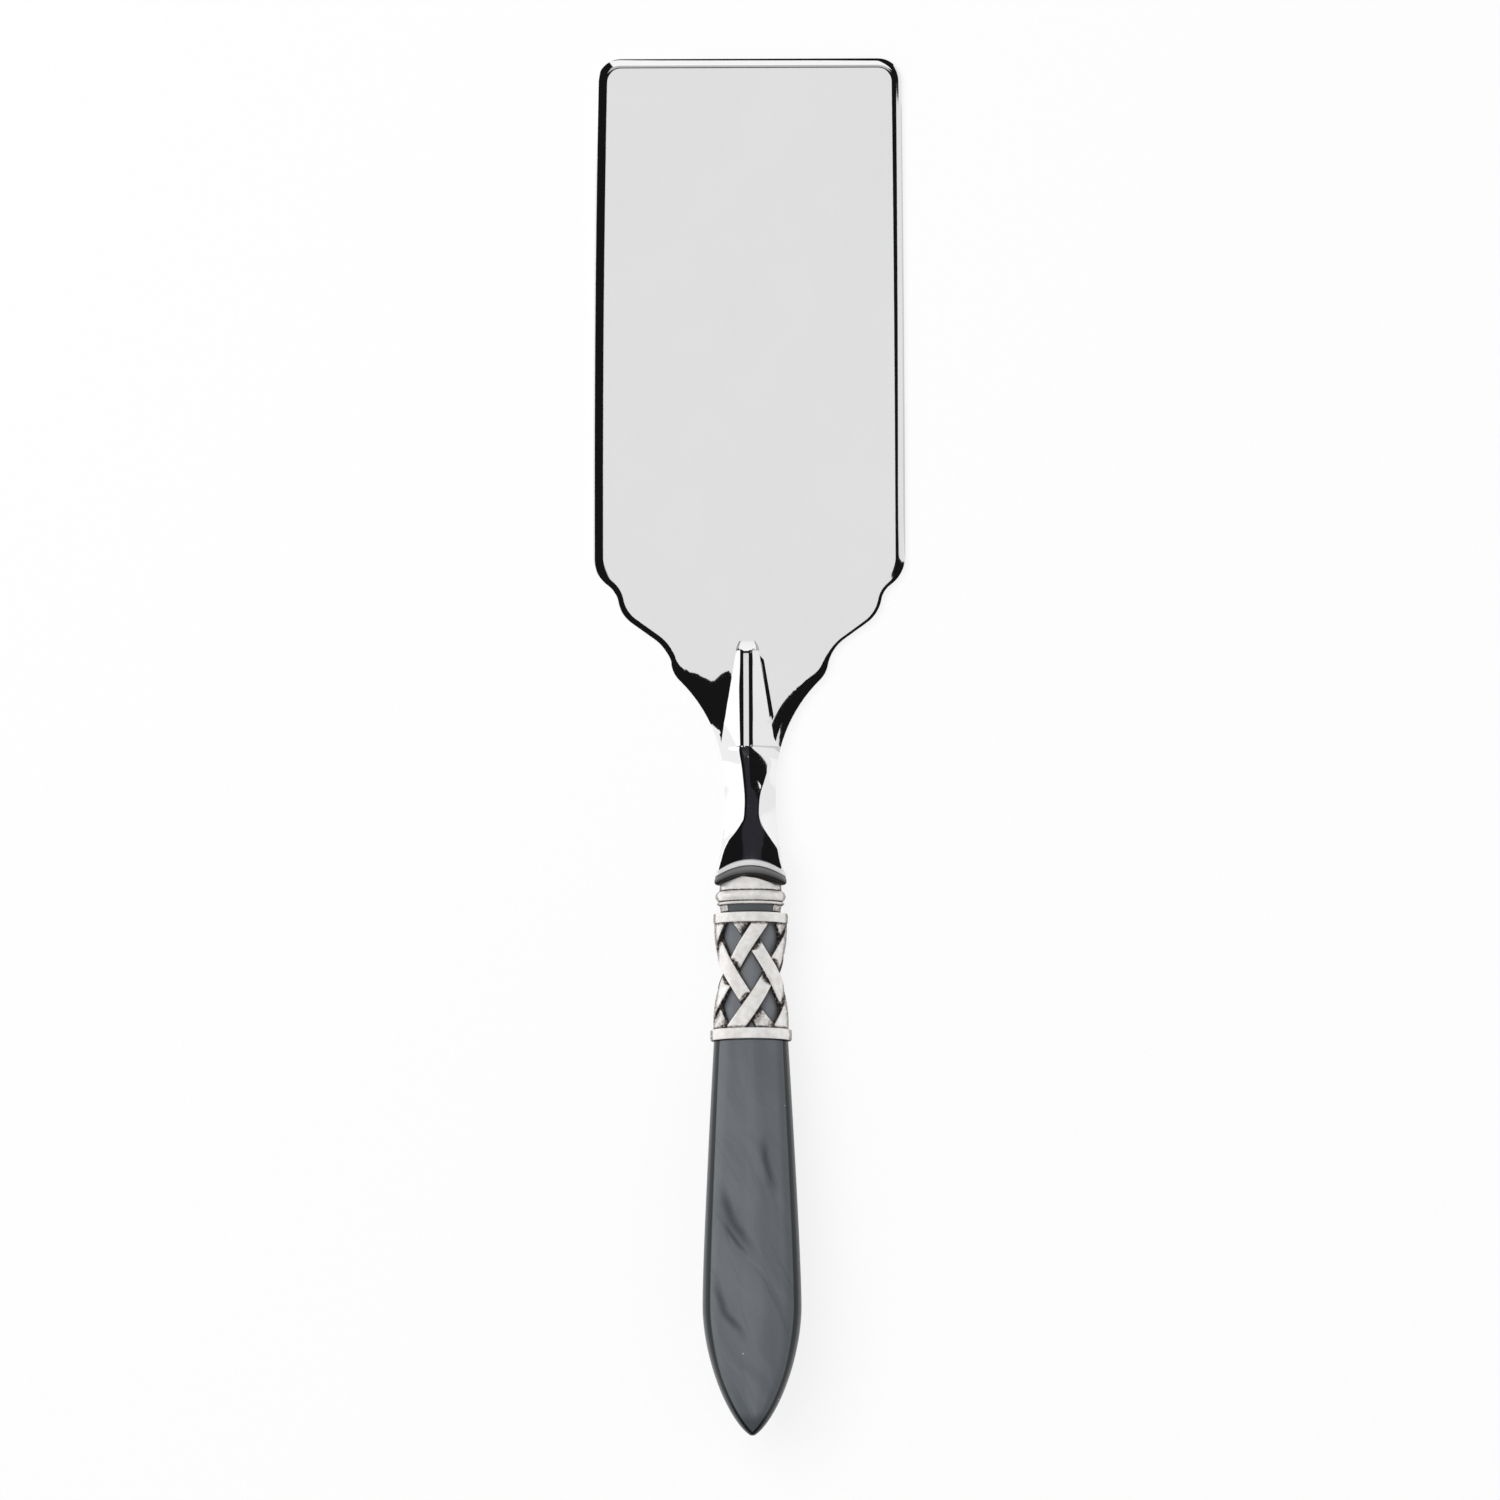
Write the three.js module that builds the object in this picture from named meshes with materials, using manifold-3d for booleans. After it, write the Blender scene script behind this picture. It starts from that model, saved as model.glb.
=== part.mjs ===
// Lasagna server: a wide steel blade on a faceted neck, held by a hidden tang in a resin handle
// behind a domed cap and an openwork woven sleeve.
// Millimetres. +X is to the right, +Y runs from the handle to the blade's tip, +Z is up.
// The blade's flat underside lies on z = 0, with the origin below the middle of the whole length.

import * as THREE from 'three';
import { mergeVertices } from 'three/addons/utils/BufferGeometryUtils.js';
import Module from 'manifold-3d';

const wasm = await Module();
wasm.setup();

// Gap left between pieces that touch in the real object.
const GAP = 0.3;

// Blade: reach is measured from the neck's front face to the tip.
const BLADE_REACH = 146;
const BLADE_WIDTH = 66.2;
const BLADE_TAPER = 1.2;
const BLADE_THICKNESS = 1.8;
const TIP_CORNER = 5;
const RIM_WIDTH = 2.1;
const RIM_DROP = 0.6;

// Scalloped shoulder: radius and end heading of each arc, heading 0 running straight to the handle
// and 90 straight at the axis. One straight run follows the third arc.
const SHOULDER_Y = 40.4;
const SCALLOPS = [
  { radius: 7.5, heading: 54 },
  { radius: 5.1, heading: 10.5 },
  { radius: 7.7, heading: 54.4, run: 5.8 },
  { radius: 9.0, heading: 10.9 },
  { radius: 6.0, heading: 45.6 },
];

// Heel: the sheet bends up towards the neck, its edges staying lower than its middle like a soft tent.
const HEEL_START = 30;
const HEEL_ANGLE = THREE.MathUtils.degToRad(12.5);
const HEEL_DROOP = 0.7;
const HEEL_TENT = 1.25;
const TAIL_WIDTH = 4.4;
const TAIL_TAPER = 0.4;
const TAIL_LENGTH = 6;

// Neck: lengths run along the handle's axis from the neck's front face. The tongue, where the top spreads
// over the facets, starts and ends at these shares of the way from waist to foot.
const HANDLE_RISE = THREE.MathUtils.degToRad(6.5);
const NECK_WAIST_WIDTH = 10.8;
const NECK_TOP = 2.1;
const NECK_CHIN = 2.2;
const FACET_CROWN = 0.4;
const SPINE_LENGTH = 20.5;
const SPINE_NOSE = 0.9;
const SPINE_TIP_WIDTH = 5;
const SPINE_TIP_HEIGHT = 1;
const SPINE_TOP_WIDTH = 1.4;
const SHIELD_WIDTH = 6;
const SHANK_TOP_WIDTH = 2.8;
const TONGUE_START = 0.36;
const TONGUE_END = 0.82;
const FOOT_LENGTH = 26.2;
const FOOT_WIDTH = 14.5;
const FOOT_ARCH = 2.7;
const LIP_LENGTH = 3;
const LIP_BULGE = 0.7;

// Ferrule: every section is an oval this much thinner than it is wide.
const OVAL = 0.68;
const DOME_WIDTH = 13.2;
const DOME_HEIGHT = 3.5;
const BEAD_WIDTH = 14.9;
const BEAD_LENGTH = 2.1;
const FILLET_WIDTH = 14.3;
const FILLET_LENGTH = 0.6;
const GROOVE_WIDTH = 12.7;
const GROOVE_LENGTH = 1.8;
const PLUG_LENGTH = 1.6;
const DOME_SETBACK = 0.6;

const TOP_RING_WIDTH = 15.8;
const TOP_RING_LENGTH = 2.1;
const BOTTOM_RING_WIDTH = 17.3;
const BOTTOM_RING_LENGTH = 2.4;
const RING_EDGE = 0.3;
const LATTICE_LENGTH = 23;
const LATTICE_TOP_WIDTH = 15.3;
const LATTICE_WAIST_WIDTH = 14;
const LATTICE_END_WIDTH = 16.5;
const LATTICE_WAIST_AT = 0.45;
const STRIP_WIDTH = 3.15;
const STRIP_THICKNESS = 0.9;
const STRIP_BEVEL = 0.35;
const WEAVE_RELIEF = 0.28;
const STRIPS_PER_WAY = 4;
const WINDOW_ROWS = 3;
const ROW_SPACING = 7.3;

// Handle: its tip is a pointed oval.
const HANDLE_LENGTH = 84;
const HANDLE_START_WIDTH = 15.8;
const HANDLE_WIDTH = 21;
const HANDLE_THICKNESS = 11.2;
const HANDLE_SWELL_AT = 56.5;
const HANDLE_SQUARENESS = 2.6;

// Tang and the glue round it: both rounded flat bars.
const TANG_WIDTH = 5;
const TANG_THICKNESS = 2.2;
const TANG_IN_NECK = 11;
const TANG_IN_HANDLE = 58;
const GLUE_WALL = 0.5;

const LEFT_AND_RIGHT = [-1, 1];
const ROUND = 36;

// Places along the handle's axis, each piece starting where the one before it ends.
const DOME_START = FOOT_LENGTH + DOME_SETBACK;
const BEAD_START = DOME_START + DOME_HEIGHT;
const FILLET_START = BEAD_START + BEAD_LENGTH;
const GROOVE_START = FILLET_START + FILLET_LENGTH;
const SLEEVE_START = GROOVE_START + GROOVE_LENGTH + GAP;
const PLUG_END = SLEEVE_START + PLUG_LENGTH;
const LATTICE_START = SLEEVE_START + TOP_RING_LENGTH;
const LATTICE_END = LATTICE_START + LATTICE_LENGTH;
const SLEEVE_END = LATTICE_END + BOTTOM_RING_LENGTH;
const HANDLE_START = SLEEVE_END + GAP;
const HANDLE_END = HANDLE_START + HANDLE_LENGTH;
const SPIGOT_START = PLUG_END + GAP;
const TANG_START = FOOT_LENGTH - TANG_IN_NECK;
const TANG_END = SPIGOT_START + TANG_IN_HANDLE;
const LATTICE_DEPTH = STRIP_THICKNESS + WEAVE_RELIEF;

// Solids and surfaces

// A geometry as a solid that can be joined and cut.
function solid(geometry) {
  const bare = new THREE.BufferGeometry();
  bare.setAttribute('position', geometry.getAttribute('position'));
  bare.setIndex(geometry.getIndex());
  const welded = mergeVertices(bare, 1e-4);
  const corners = welded.getIndex().array;
  const kept = [];
  for (let i = 0; i < corners.length; i += 3) {
    const [a, b, c] = [corners[i], corners[i + 1], corners[i + 2]];
    if (a !== b && b !== c && c !== a) {
      kept.push(a, b, c);
    }
  }
  return new wasm.Manifold(new wasm.Mesh({
    numProp: 3,
    vertProperties: new Float32Array(welded.getAttribute('position').array),
    triVerts: new Uint32Array(kept),
  }));
}

// A solid as a flat-shaded geometry.
function geometryOf(shape) {
  const mesh = shape.getMesh();
  const geometry = new THREE.BufferGeometry();
  geometry.setAttribute('position', new THREE.BufferAttribute(mesh.vertProperties, 3));
  geometry.setIndex(new THREE.BufferAttribute(mesh.triVerts, 1));
  const faceted = geometry.toNonIndexed();
  faceted.computeVertexNormals();
  return faceted;
}

// A closed skin through rings of points, each end filled by a fan about its middle.
// Rings run anticlockwise as seen from the first ring towards the last.
function loft(rings) {
  const count = rings[0].length;
  const points = rings.flat();
  const faces = [];
  for (let r = 0; r + 1 < rings.length; r++) {
    for (let k = 0; k < count; k++) {
      const a = r * count + k;
      const b = r * count + (k + 1) % count;
      faces.push(a, b + count, b, a, a + count, b + count);
    }
  }
  const fill = (ring, first, flip) => {
    const middle = new THREE.Vector3();
    ring.forEach((point) => middle.addScaledVector(point, 1 / count));
    points.push(middle);
    for (let k = 0; k < count; k++) {
      const pair = [first + k, first + (k + 1) % count];
      faces.push(points.length - 1, ...(flip ? pair.reverse() : pair));
    }
  };
  fill(rings[0], 0, false);
  fill(rings[rings.length - 1], (rings.length - 1) * count, true);
  const geometry = new THREE.BufferGeometry().setFromPoints(points);
  geometry.setIndex(faces);
  return geometry;
}

// A revolved oval solid on the handle's axis, from [half-width, place] points.
function ovalLathe(profile) {
  const points = profile.map(([radius, place]) => new THREE.Vector2(radius, -place));
  const geometry = new THREE.LatheGeometry(points.reverse(), ROUND);
  geometry.scale(1, 1, OVAL);
  return solid(geometry);
}

// A rounded flat bar along the handle's axis, grown on all sides by the given amount.
function roundedBar(start, end, grow) {
  const radius = TANG_THICKNESS / 2 + grow;
  const side = (TANG_WIDTH - TANG_THICKNESS) / 2;
  const section = new THREE.Shape();
  section.absarc(side, 0, radius, -Math.PI / 2, Math.PI / 2);
  section.absarc(-side, 0, radius, Math.PI / 2, 3 * Math.PI / 2);
  const geometry = new THREE.ExtrudeGeometry(section, {
    depth: end - start,
    bevelEnabled: false,
    curveSegments: 8,
  });
  geometry.translate(0, 0, start);
  geometry.rotateX(Math.PI / 2);
  return solid(geometry);
}

// Points of an arc from one angle to another.
function arc(centre, radius, from, to, steps) {
  return Array.from({ length: steps + 1 }, (_, i) => {
    const angle = THREE.MathUtils.lerp(from, to, i / steps);
    return new THREE.Vector2(centre.x + radius * Math.cos(angle), centre.y + radius * Math.sin(angle));
  });
}

// Value at a place on a line of points sorted from high y to low y.
function widthAt(line, y) {
  const next = line.findIndex((point) => point.y <= y);
  if (next <= 0) {
    return next === 0 ? line[0].x : line[line.length - 1].x;
  }
  const [a, b] = [line[next - 1], line[next]];
  return THREE.MathUtils.mapLinear(y, a.y, b.y, a.x, b.x);
}

// Blade

// The right-hand shoulder, from the blade's side to the neck's waist.
function shoulderLine() {
  const point = new THREE.Vector2(BLADE_WIDTH / 2, SHOULDER_Y);
  const line = [point.clone()];
  let heading = 0;
  const turn = (radius, degrees, run = 0) => {
    const target = THREE.MathUtils.degToRad(degrees);
    const side = Math.sign(target - heading);
    const centre = new THREE.Vector2(
      point.x - side * radius * Math.cos(heading),
      point.y + side * radius * Math.sin(heading),
    );
    const base = side > 0 ? 0 : Math.PI;
    line.push(...arc(centre, radius, base - heading, base - target, 6).slice(1));
    heading = target;
    point.copy(line[line.length - 1]);
    if (run > 0) {
      point.x -= run * Math.sin(heading);
      point.y -= run * Math.cos(heading);
      line.push(point.clone());
    }
  };
  SCALLOPS.forEach(({ radius, heading: degrees, run }) => turn(radius, degrees, run));
  turn((point.x - NECK_WAIST_WIDTH / 2) / (1 - Math.cos(heading)), 0);
  return line;
}

const SHOULDER = shoulderLine();
const NECK_WAIST_AT = -SHOULDER[SHOULDER.length - 1].y;
const NECK_START_WIDTH = 2 * widthAt(SHOULDER, 0);

// The right-hand half of the blade's outline, from tip to tail.
function bladeLine() {
  const half = BLADE_WIDTH / 2 - BLADE_TAPER;
  const corner = new THREE.Vector2(half - TIP_CORNER, BLADE_REACH - TIP_CORNER);
  const line = arc(corner, TIP_CORNER, Math.PI / 2, 0, 6);
  const steps = 9;
  for (let i = 1; i < steps; i++) {
    const share = 1 - i / steps;
    line.push(new THREE.Vector2(
      THREE.MathUtils.lerp(BLADE_WIDTH / 2, half, share ** 2),
      THREE.MathUtils.lerp(SHOULDER_Y, corner.y, share),
    ));
  }
  line.push(...SHOULDER.filter((point) => point.y > 1));
  line.push(new THREE.Vector2(NECK_START_WIDTH / 2, 0));
  line.push(new THREE.Vector2(TAIL_WIDTH / 2, -TAIL_TAPER));
  line.push(new THREE.Vector2(TAIL_WIDTH / 2, -TAIL_LENGTH));
  return line;
}

// Height of the sheet's underside at its middle.
function heelLift(y) {
  const radius = HEEL_START / Math.sin(HEEL_ANGLE);
  if (y >= HEEL_START) {
    return 0;
  }
  if (y >= 0) {
    return radius - Math.sqrt(radius ** 2 - (HEEL_START - y) ** 2);
  }
  return radius * (1 - Math.cos(HEEL_ANGLE)) - y * Math.tan(HEEL_ANGLE);
}

function undersideAt(x, y) {
  const half = y > SHOULDER_Y ? BLADE_WIDTH / 2 : widthAt(SHOULDER, y);
  return heelLift(y) * (1 - HEEL_DROOP * Math.min(Math.abs(x) / half, 1) ** HEEL_TENT);
}

// The sheet as a loft of ribs; growing it gives the space that the neck leaves for it.
function bladeGeometry(grow = 0) {
  const line = bladeLine();
  const edges = line.slice(1).map((point, i) => new THREE.Line3(
    new THREE.Vector3(line[i].x, line[i].y, 0),
    new THREE.Vector3(point.x, point.y, 0),
  ));
  const tip = new THREE.Vector3(0, BLADE_REACH, 0);
  edges.push(new THREE.Line3(tip, new THREE.Vector3(line[0].x, BLADE_REACH, 0)));
  const nearest = new THREE.Vector3();
  const rimDrop = (x, y) => {
    const spot = new THREE.Vector3(Math.abs(x), y, 0);
    const inside = Math.min(...edges.map((edge) =>
      edge.closestPointToPoint(spot, true, nearest).distanceTo(spot)));
    return RIM_DROP * Math.max(0, 1 - inside / RIM_WIDTH) ** 2;
  };
  const ribs = line.map((point, i) => {
    const before = line[Math.max(i - 1, 0)];
    const after = line[Math.min(i + 1, line.length - 1)];
    const slant = Math.abs(after.y - before.y) / after.distanceTo(before);
    const rim = Math.min(RIM_WIDTH / Math.max(slant, 0.5), point.x * 0.8);
    const half = point.x + grow;
    const across = [0, 0.25, 0.5, 0.75, 1].map((share) => half - rim * share);
    across.push((half - rim) * 0.66, (half - rim) * 0.33);
    const places = [...across.map((x) => -x), 0, ...across.reverse()];
    const y = i === line.length - 1 ? point.y - grow : point.y;
    const top = places.map((x) => new THREE.Vector3(
      x,
      y,
      undersideAt(x, y) + BLADE_THICKNESS + (grow > 0 ? grow : -rimDrop(x, y)),
    ));
    const under = [1, 0.5, 0, -0.5, -1].map((share) => new THREE.Vector3(
      half * share,
      y,
      undersideAt(half * share, y) - grow,
    ));
    return [...top, ...under];
  });
  return loft(ribs);
}

// Placing: the handle's axis starts in the middle of the sheet at the neck's front face.

const AXIS_HEIGHT = heelLift(0) + BLADE_THICKNESS / 2;

const grip = new THREE.Group();
grip.name = 'grip';
grip.position.z = AXIS_HEIGHT;
grip.rotation.x = -HANDLE_RISE;
grip.updateMatrix();
const INTO_GRIP = grip.matrix.clone().invert();

// Ferrule cap

function capProfile() {
  const dome = arc(new THREE.Vector2(0, 0), 1, 0, Math.PI / 2, 7).reverse().map((point) => [
    DOME_WIDTH / 2 * point.x,
    BEAD_START - DOME_HEIGHT * point.y ** 1.1,
  ]);
  dome[0][0] = 0;
  const bulge = (from, length, edge, width) => [0.12, 0.35, 0.65, 0.88].map((share) => [
    THREE.MathUtils.lerp(edge, width, Math.sin(Math.PI * share)) / 2,
    from + length * share,
  ]);
  return [
    ...dome,
    ...bulge(BEAD_START, BEAD_LENGTH, DOME_WIDTH, BEAD_WIDTH),
    ...bulge(FILLET_START, FILLET_LENGTH, DOME_WIDTH, FILLET_WIDTH).slice(1, 3),
    [THREE.MathUtils.lerp(GROOVE_WIDTH, DOME_WIDTH, 0.5) / 2, GROOVE_START + GROOVE_LENGTH * 0.2],
    [GROOVE_WIDTH / 2, GROOVE_START + GROOVE_LENGTH],
    [PLUG_HALF, GROOVE_START + GROOVE_LENGTH],
    [PLUG_HALF, PLUG_END],
    [0, PLUG_END],
  ];
}

// Half-width of the lattice's outer face at a place on the axis.
function latticeHalf(place) {
  const waist = LATTICE_START + LATTICE_LENGTH * LATTICE_WAIST_AT;
  const [end, reach] = place < waist
    ? [LATTICE_TOP_WIDTH, waist - LATTICE_START]
    : [LATTICE_END_WIDTH, LATTICE_END - waist];
  return THREE.MathUtils.lerp(LATTICE_WAIST_WIDTH, end, ((place - waist) / reach) ** 2) / 2;
}

const TOP_RING_BORE = latticeHalf(LATTICE_START) - LATTICE_DEPTH;
const PLUG_HALF = TOP_RING_BORE - GAP;

// Half-width and half-thickness of the handle's spigot: straight down to the lattice's waist, so that
// the sleeve slides over it, and following the lattice below that.
function spigotSize(place) {
  const waist = LATTICE_START + LATTICE_LENGTH * LATTICE_WAIST_AT;
  const around = latticeHalf(Math.min(Math.max(place, waist), LATTICE_END));
  const inset = LATTICE_DEPTH + GAP;
  return [around - inset, around * OVAL - inset];
}

function capSolid() {
  return ovalLathe(capProfile()).subtract(roundedBar(DOME_START - 1, PLUG_END + 1, GAP));
}

// Neck

// One section of the neck: a top that is crowned as far as a crease on each side, a facet from there to
// the eave, and a half-oval belly. Without a crown the top would be flat as far as the given half-width.
// The section leans forward at its middle by the arch.
function neckRing({ place, half, top, flat, crease, eave, bottom, arch }) {
  const creaseHeight = THREE.MathUtils.mapLinear(crease, flat, half, top, eave);
  const crown = 1 - ((creaseHeight - eave) / (top - eave)) ** 2;
  const side = [0, 0.35, 0.65, 0.88, 1].map((share) => [
    crease * share,
    eave + (top - eave) * Math.sqrt(1 - crown * share ** 2),
  ]);
  side.push(...[1 / 3, 2 / 3, 1].map((share) => [
    THREE.MathUtils.lerp(crease, half, share),
    THREE.MathUtils.lerp(creaseHeight, eave, share)
      + FACET_CROWN * Math.sin(Math.PI * share) * (creaseHeight - eave) / half,
  ]));
  const belly = [1, 2, 3, 4, 5, 6, 7].map((i) => {
    const angle = i / 8 * Math.PI;
    return [half * Math.cos(angle), eave + (bottom - eave) * Math.sin(angle)];
  });
  const outline = [...side.slice(1).reverse().map(([x, z]) => [-x, z]), ...side, ...belly];
  return outline.map(([x, z]) => new THREE.Vector3(x, arch * (1 - (x / half) ** 2) - place, z));
}

// Height of the sheet above the handle's axis, a share of the thickness up from its underside.
function sheetHeight(x, place, share) {
  const spot = new THREE.Vector3(x, place, undersideAt(x, place) + BLADE_THICKNESS * share);
  return spot.applyMatrix4(INTO_GRIP).z;
}

// Height of the neck's top above the handle's axis.
function neckTop(place) {
  return THREE.MathUtils.mapLinear(place, 0, FOOT_LENGTH, NECK_TOP, FOOT_WIDTH / 2 * OVAL);
}

function neckSolid() {
  const footHalf = FOOT_WIDTH / 2;
  const rings = [];
  const spine = (place, half, flat, top) => rings.push(neckRing({
    place: -place,
    half,
    top,
    flat,
    crease: flat,
    eave: sheetHeight(half, place, 0.7),
    bottom: sheetHeight(0, place, 0.3),
    arch: 0,
  }));
  const tipTop = sheetHeight(0, SPINE_LENGTH, 1) + SPINE_TIP_HEIGHT;
  spine(SPINE_LENGTH + SPINE_NOSE, SPINE_TIP_WIDTH * 0.3, 0.3, sheetHeight(0, SPINE_LENGTH, 1.15));
  for (const share of [0, 0.25, 0.5, 0.75, 1]) {
    spine(
      SPINE_LENGTH * (1 - share),
      THREE.MathUtils.lerp(SPINE_TIP_WIDTH, NECK_START_WIDTH * 0.93, share) / 2,
      SPINE_TOP_WIDTH / 2,
      THREE.MathUtils.lerp(tipTop, NECK_TOP, share),
    );
  }
  for (const settled of [0.05, 0.25, 0.45, 0.7]) {
    const swell = 1 - (settled / 0.45 - 1) ** 2;
    const half = widthAt(SHOULDER, -NECK_WAIST_AT * settled);
    const flat = THREE.MathUtils.lerp(SHANK_TOP_WIDTH, SHIELD_WIDTH, Math.max(0, swell)) / 2;
    const ease = THREE.MathUtils.smoothstep(settled, 0, 1);
    const place = NECK_WAIST_AT * settled;
    rings.push(neckRing({
      place,
      half,
      top: neckTop(place),
      flat,
      crease: flat,
      eave: sheetHeight(NECK_START_WIDTH / 2, 0, 0.7) * (1 - ease),
      bottom: -THREE.MathUtils.lerp(NECK_CHIN, neckTop(place), ease),
      arch: 0,
    }));
  }
  for (const flare of [0, 0.15, 0.3, 0.42, 0.52, 0.6, 0.67, 0.73, 0.78, TONGUE_END, 0.91, 1]) {
    const half = THREE.MathUtils.lerp(NECK_WAIST_WIDTH / 2, footHalf, flare ** 2.5);
    const place = THREE.MathUtils.lerp(NECK_WAIST_AT, FOOT_LENGTH, flare);
    const top = neckTop(place);
    const spread = THREE.MathUtils.clamp((flare - TONGUE_START) / (TONGUE_END - TONGUE_START), 0, 1);
    rings.push(neckRing({
      place,
      half,
      top,
      flat: SHANK_TOP_WIDTH / 2,
      crease: THREE.MathUtils.lerp(SHANK_TOP_WIDTH / 2, half, spread ** 2.2),
      eave: 0,
      bottom: -top,
      arch: FOOT_ARCH * THREE.MathUtils.smoothstep(flare, TONGUE_START, 1),
    }));
  }
  for (const [share, bulge] of [[0.08, -0.1], [0.25, 0.6], [0.55, 1], [0.85, 0.75], [1, 0]]) {
    const half = footHalf + LIP_BULGE * bulge;
    const top = neckTop(FOOT_LENGTH) + LIP_BULGE * bulge;
    rings.push(neckRing({
      place: FOOT_LENGTH + LIP_LENGTH * share,
      half,
      top,
      flat: 0,
      crease: half,
      eave: 0,
      bottom: -top,
      arch: FOOT_ARCH,
    }));
  }
  const sheetSpace = bladeGeometry(GAP).applyMatrix4(INTO_GRIP);
  const domeSpace = ovalLathe(capProfile().map(([radius, place]) => [
    radius > 0 ? radius + GAP : 0,
    place - GAP,
  ]));
  return solid(loft(rings))
    .subtract(solid(sheetSpace))
    .subtract(domeSpace)
    .subtract(roundedBar(TANG_START, FOOT_LENGTH + LIP_LENGTH, GAP));
}

// Lattice sleeve

// Angles on the oval at equal shares of its length, counted from the top towards +X.
function ovalAngles(steps) {
  const speed = (angle) => Math.hypot(Math.cos(angle), OVAL * Math.sin(angle));
  const lengths = [0];
  for (let i = 0; i < steps; i++) {
    lengths.push(lengths[i] + speed((i + 0.5) / steps * 2 * Math.PI));
  }
  const whole = lengths[steps];
  return (share) => {
    const turn = Math.floor(share);
    const wanted = (share - turn) * whole;
    const next = Math.max(1, lengths.findIndex((length) => length >= wanted));
    const part = (wanted - lengths[next - 1]) / (lengths[next] - lengths[next - 1]);
    return (turn + (next - 1 + part) / steps) * 2 * Math.PI;
  };
}

const angleAt = ovalAngles(720);
const LATTICE_GIRTH = LATTICE_WAIST_WIDTH / 2 * Math.PI * (1 + OVAL);

// A point of the lattice: a share of the way round, a place on the axis and a height over the face.
function latticePoint(share, place, height) {
  const angle = angleAt(share);
  const half = latticeHalf(place);
  const normal = new THREE.Vector2(OVAL * Math.sin(angle), Math.cos(angle)).normalize();
  return new THREE.Vector3(
    half * Math.sin(angle) + height * normal.x,
    -place,
    half * OVAL * Math.cos(angle) + height * normal.y,
  );
}

// One strip of the weave. Way +1 leans to the right towards the blade, way -1 to the left.
function strip(number, way) {
  const lean = 1 / (2 * STRIPS_PER_WAY);
  const slope = Math.atan2(ROW_SPACING, lean * LATTICE_GIRTH);
  const half = STRIP_WIDTH / Math.sin(slope) / 2 / LATTICE_GIRTH;
  const bevel = STRIP_BEVEL / Math.sin(slope) / LATTICE_GIRTH;
  const firstRow = LATTICE_START + ROW_SPACING / 2;
  const steps = 6 * WINDOW_ROWS;
  const rings = Array.from({ length: steps + 1 }, (_, i) => {
    const place = THREE.MathUtils.lerp(LATTICE_START - GAP, LATTICE_END + GAP, i / steps);
    const rows = (place - firstRow) / ROW_SPACING;
    const weave = rows > -0.5 && rows < WINDOW_ROWS - 0.5 ? Math.cos(Math.PI * rows) : 0;
    const middle = number / STRIPS_PER_WAY - way * rows * lean;
    const face = way * WEAVE_RELIEF * weave;
    const section = [
      [-half, -STRIP_THICKNESS],
      [-half, -STRIP_BEVEL],
      [-half + bevel, 0],
      [-half / 3, 0],
      [half / 3, 0],
      [half - bevel, 0],
      [half, -STRIP_BEVEL],
      [half, -STRIP_THICKNESS],
      [half / 3, -STRIP_THICKNESS],
      [-half / 3, -STRIP_THICKNESS],
    ];
    return section.map(([across, depth]) => latticePoint(middle + across, place, face + depth));
  });
  return solid(loft(rings));
}

// A ring of the sleeve with softened edges.
function ring(start, end, half, bore) {
  const edge = RING_EDGE;
  return ovalLathe([
    [bore, start],
    [half - edge, start],
    [half, start + edge],
    [half, end - edge],
    [half - edge, end],
    [bore, end],
    [bore, start],
  ]);
}

function sleeveSolid() {
  const strips = [];
  for (let number = 0; number < STRIPS_PER_WAY; number++) {
    for (const way of LEFT_AND_RIGHT) {
      strips.push(strip(number, way));
    }
  }
  const top = ring(SLEEVE_START, LATTICE_START, TOP_RING_WIDTH / 2, TOP_RING_BORE);
  const bottom = ring(LATTICE_END, SLEEVE_END, BOTTOM_RING_WIDTH / 2, spigotSize(LATTICE_END)[0] + GAP);
  return strips.reduce((sleeve, next) => sleeve.add(next), top.add(bottom));
}

// Handle

// A squared-off oval section across the axis.
function handleRing(place, half, rise, squareness) {
  return Array.from({ length: ROUND }, (_, i) => {
    const angle = i / ROUND * 2 * Math.PI;
    const [cos, sin] = [Math.cos(angle), Math.sin(angle)];
    return new THREE.Vector3(
      -half * Math.sign(cos) * Math.abs(cos) ** (2 / squareness),
      -place,
      rise * Math.sign(sin) * Math.abs(sin) ** (2 / squareness),
    );
  });
}

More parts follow.
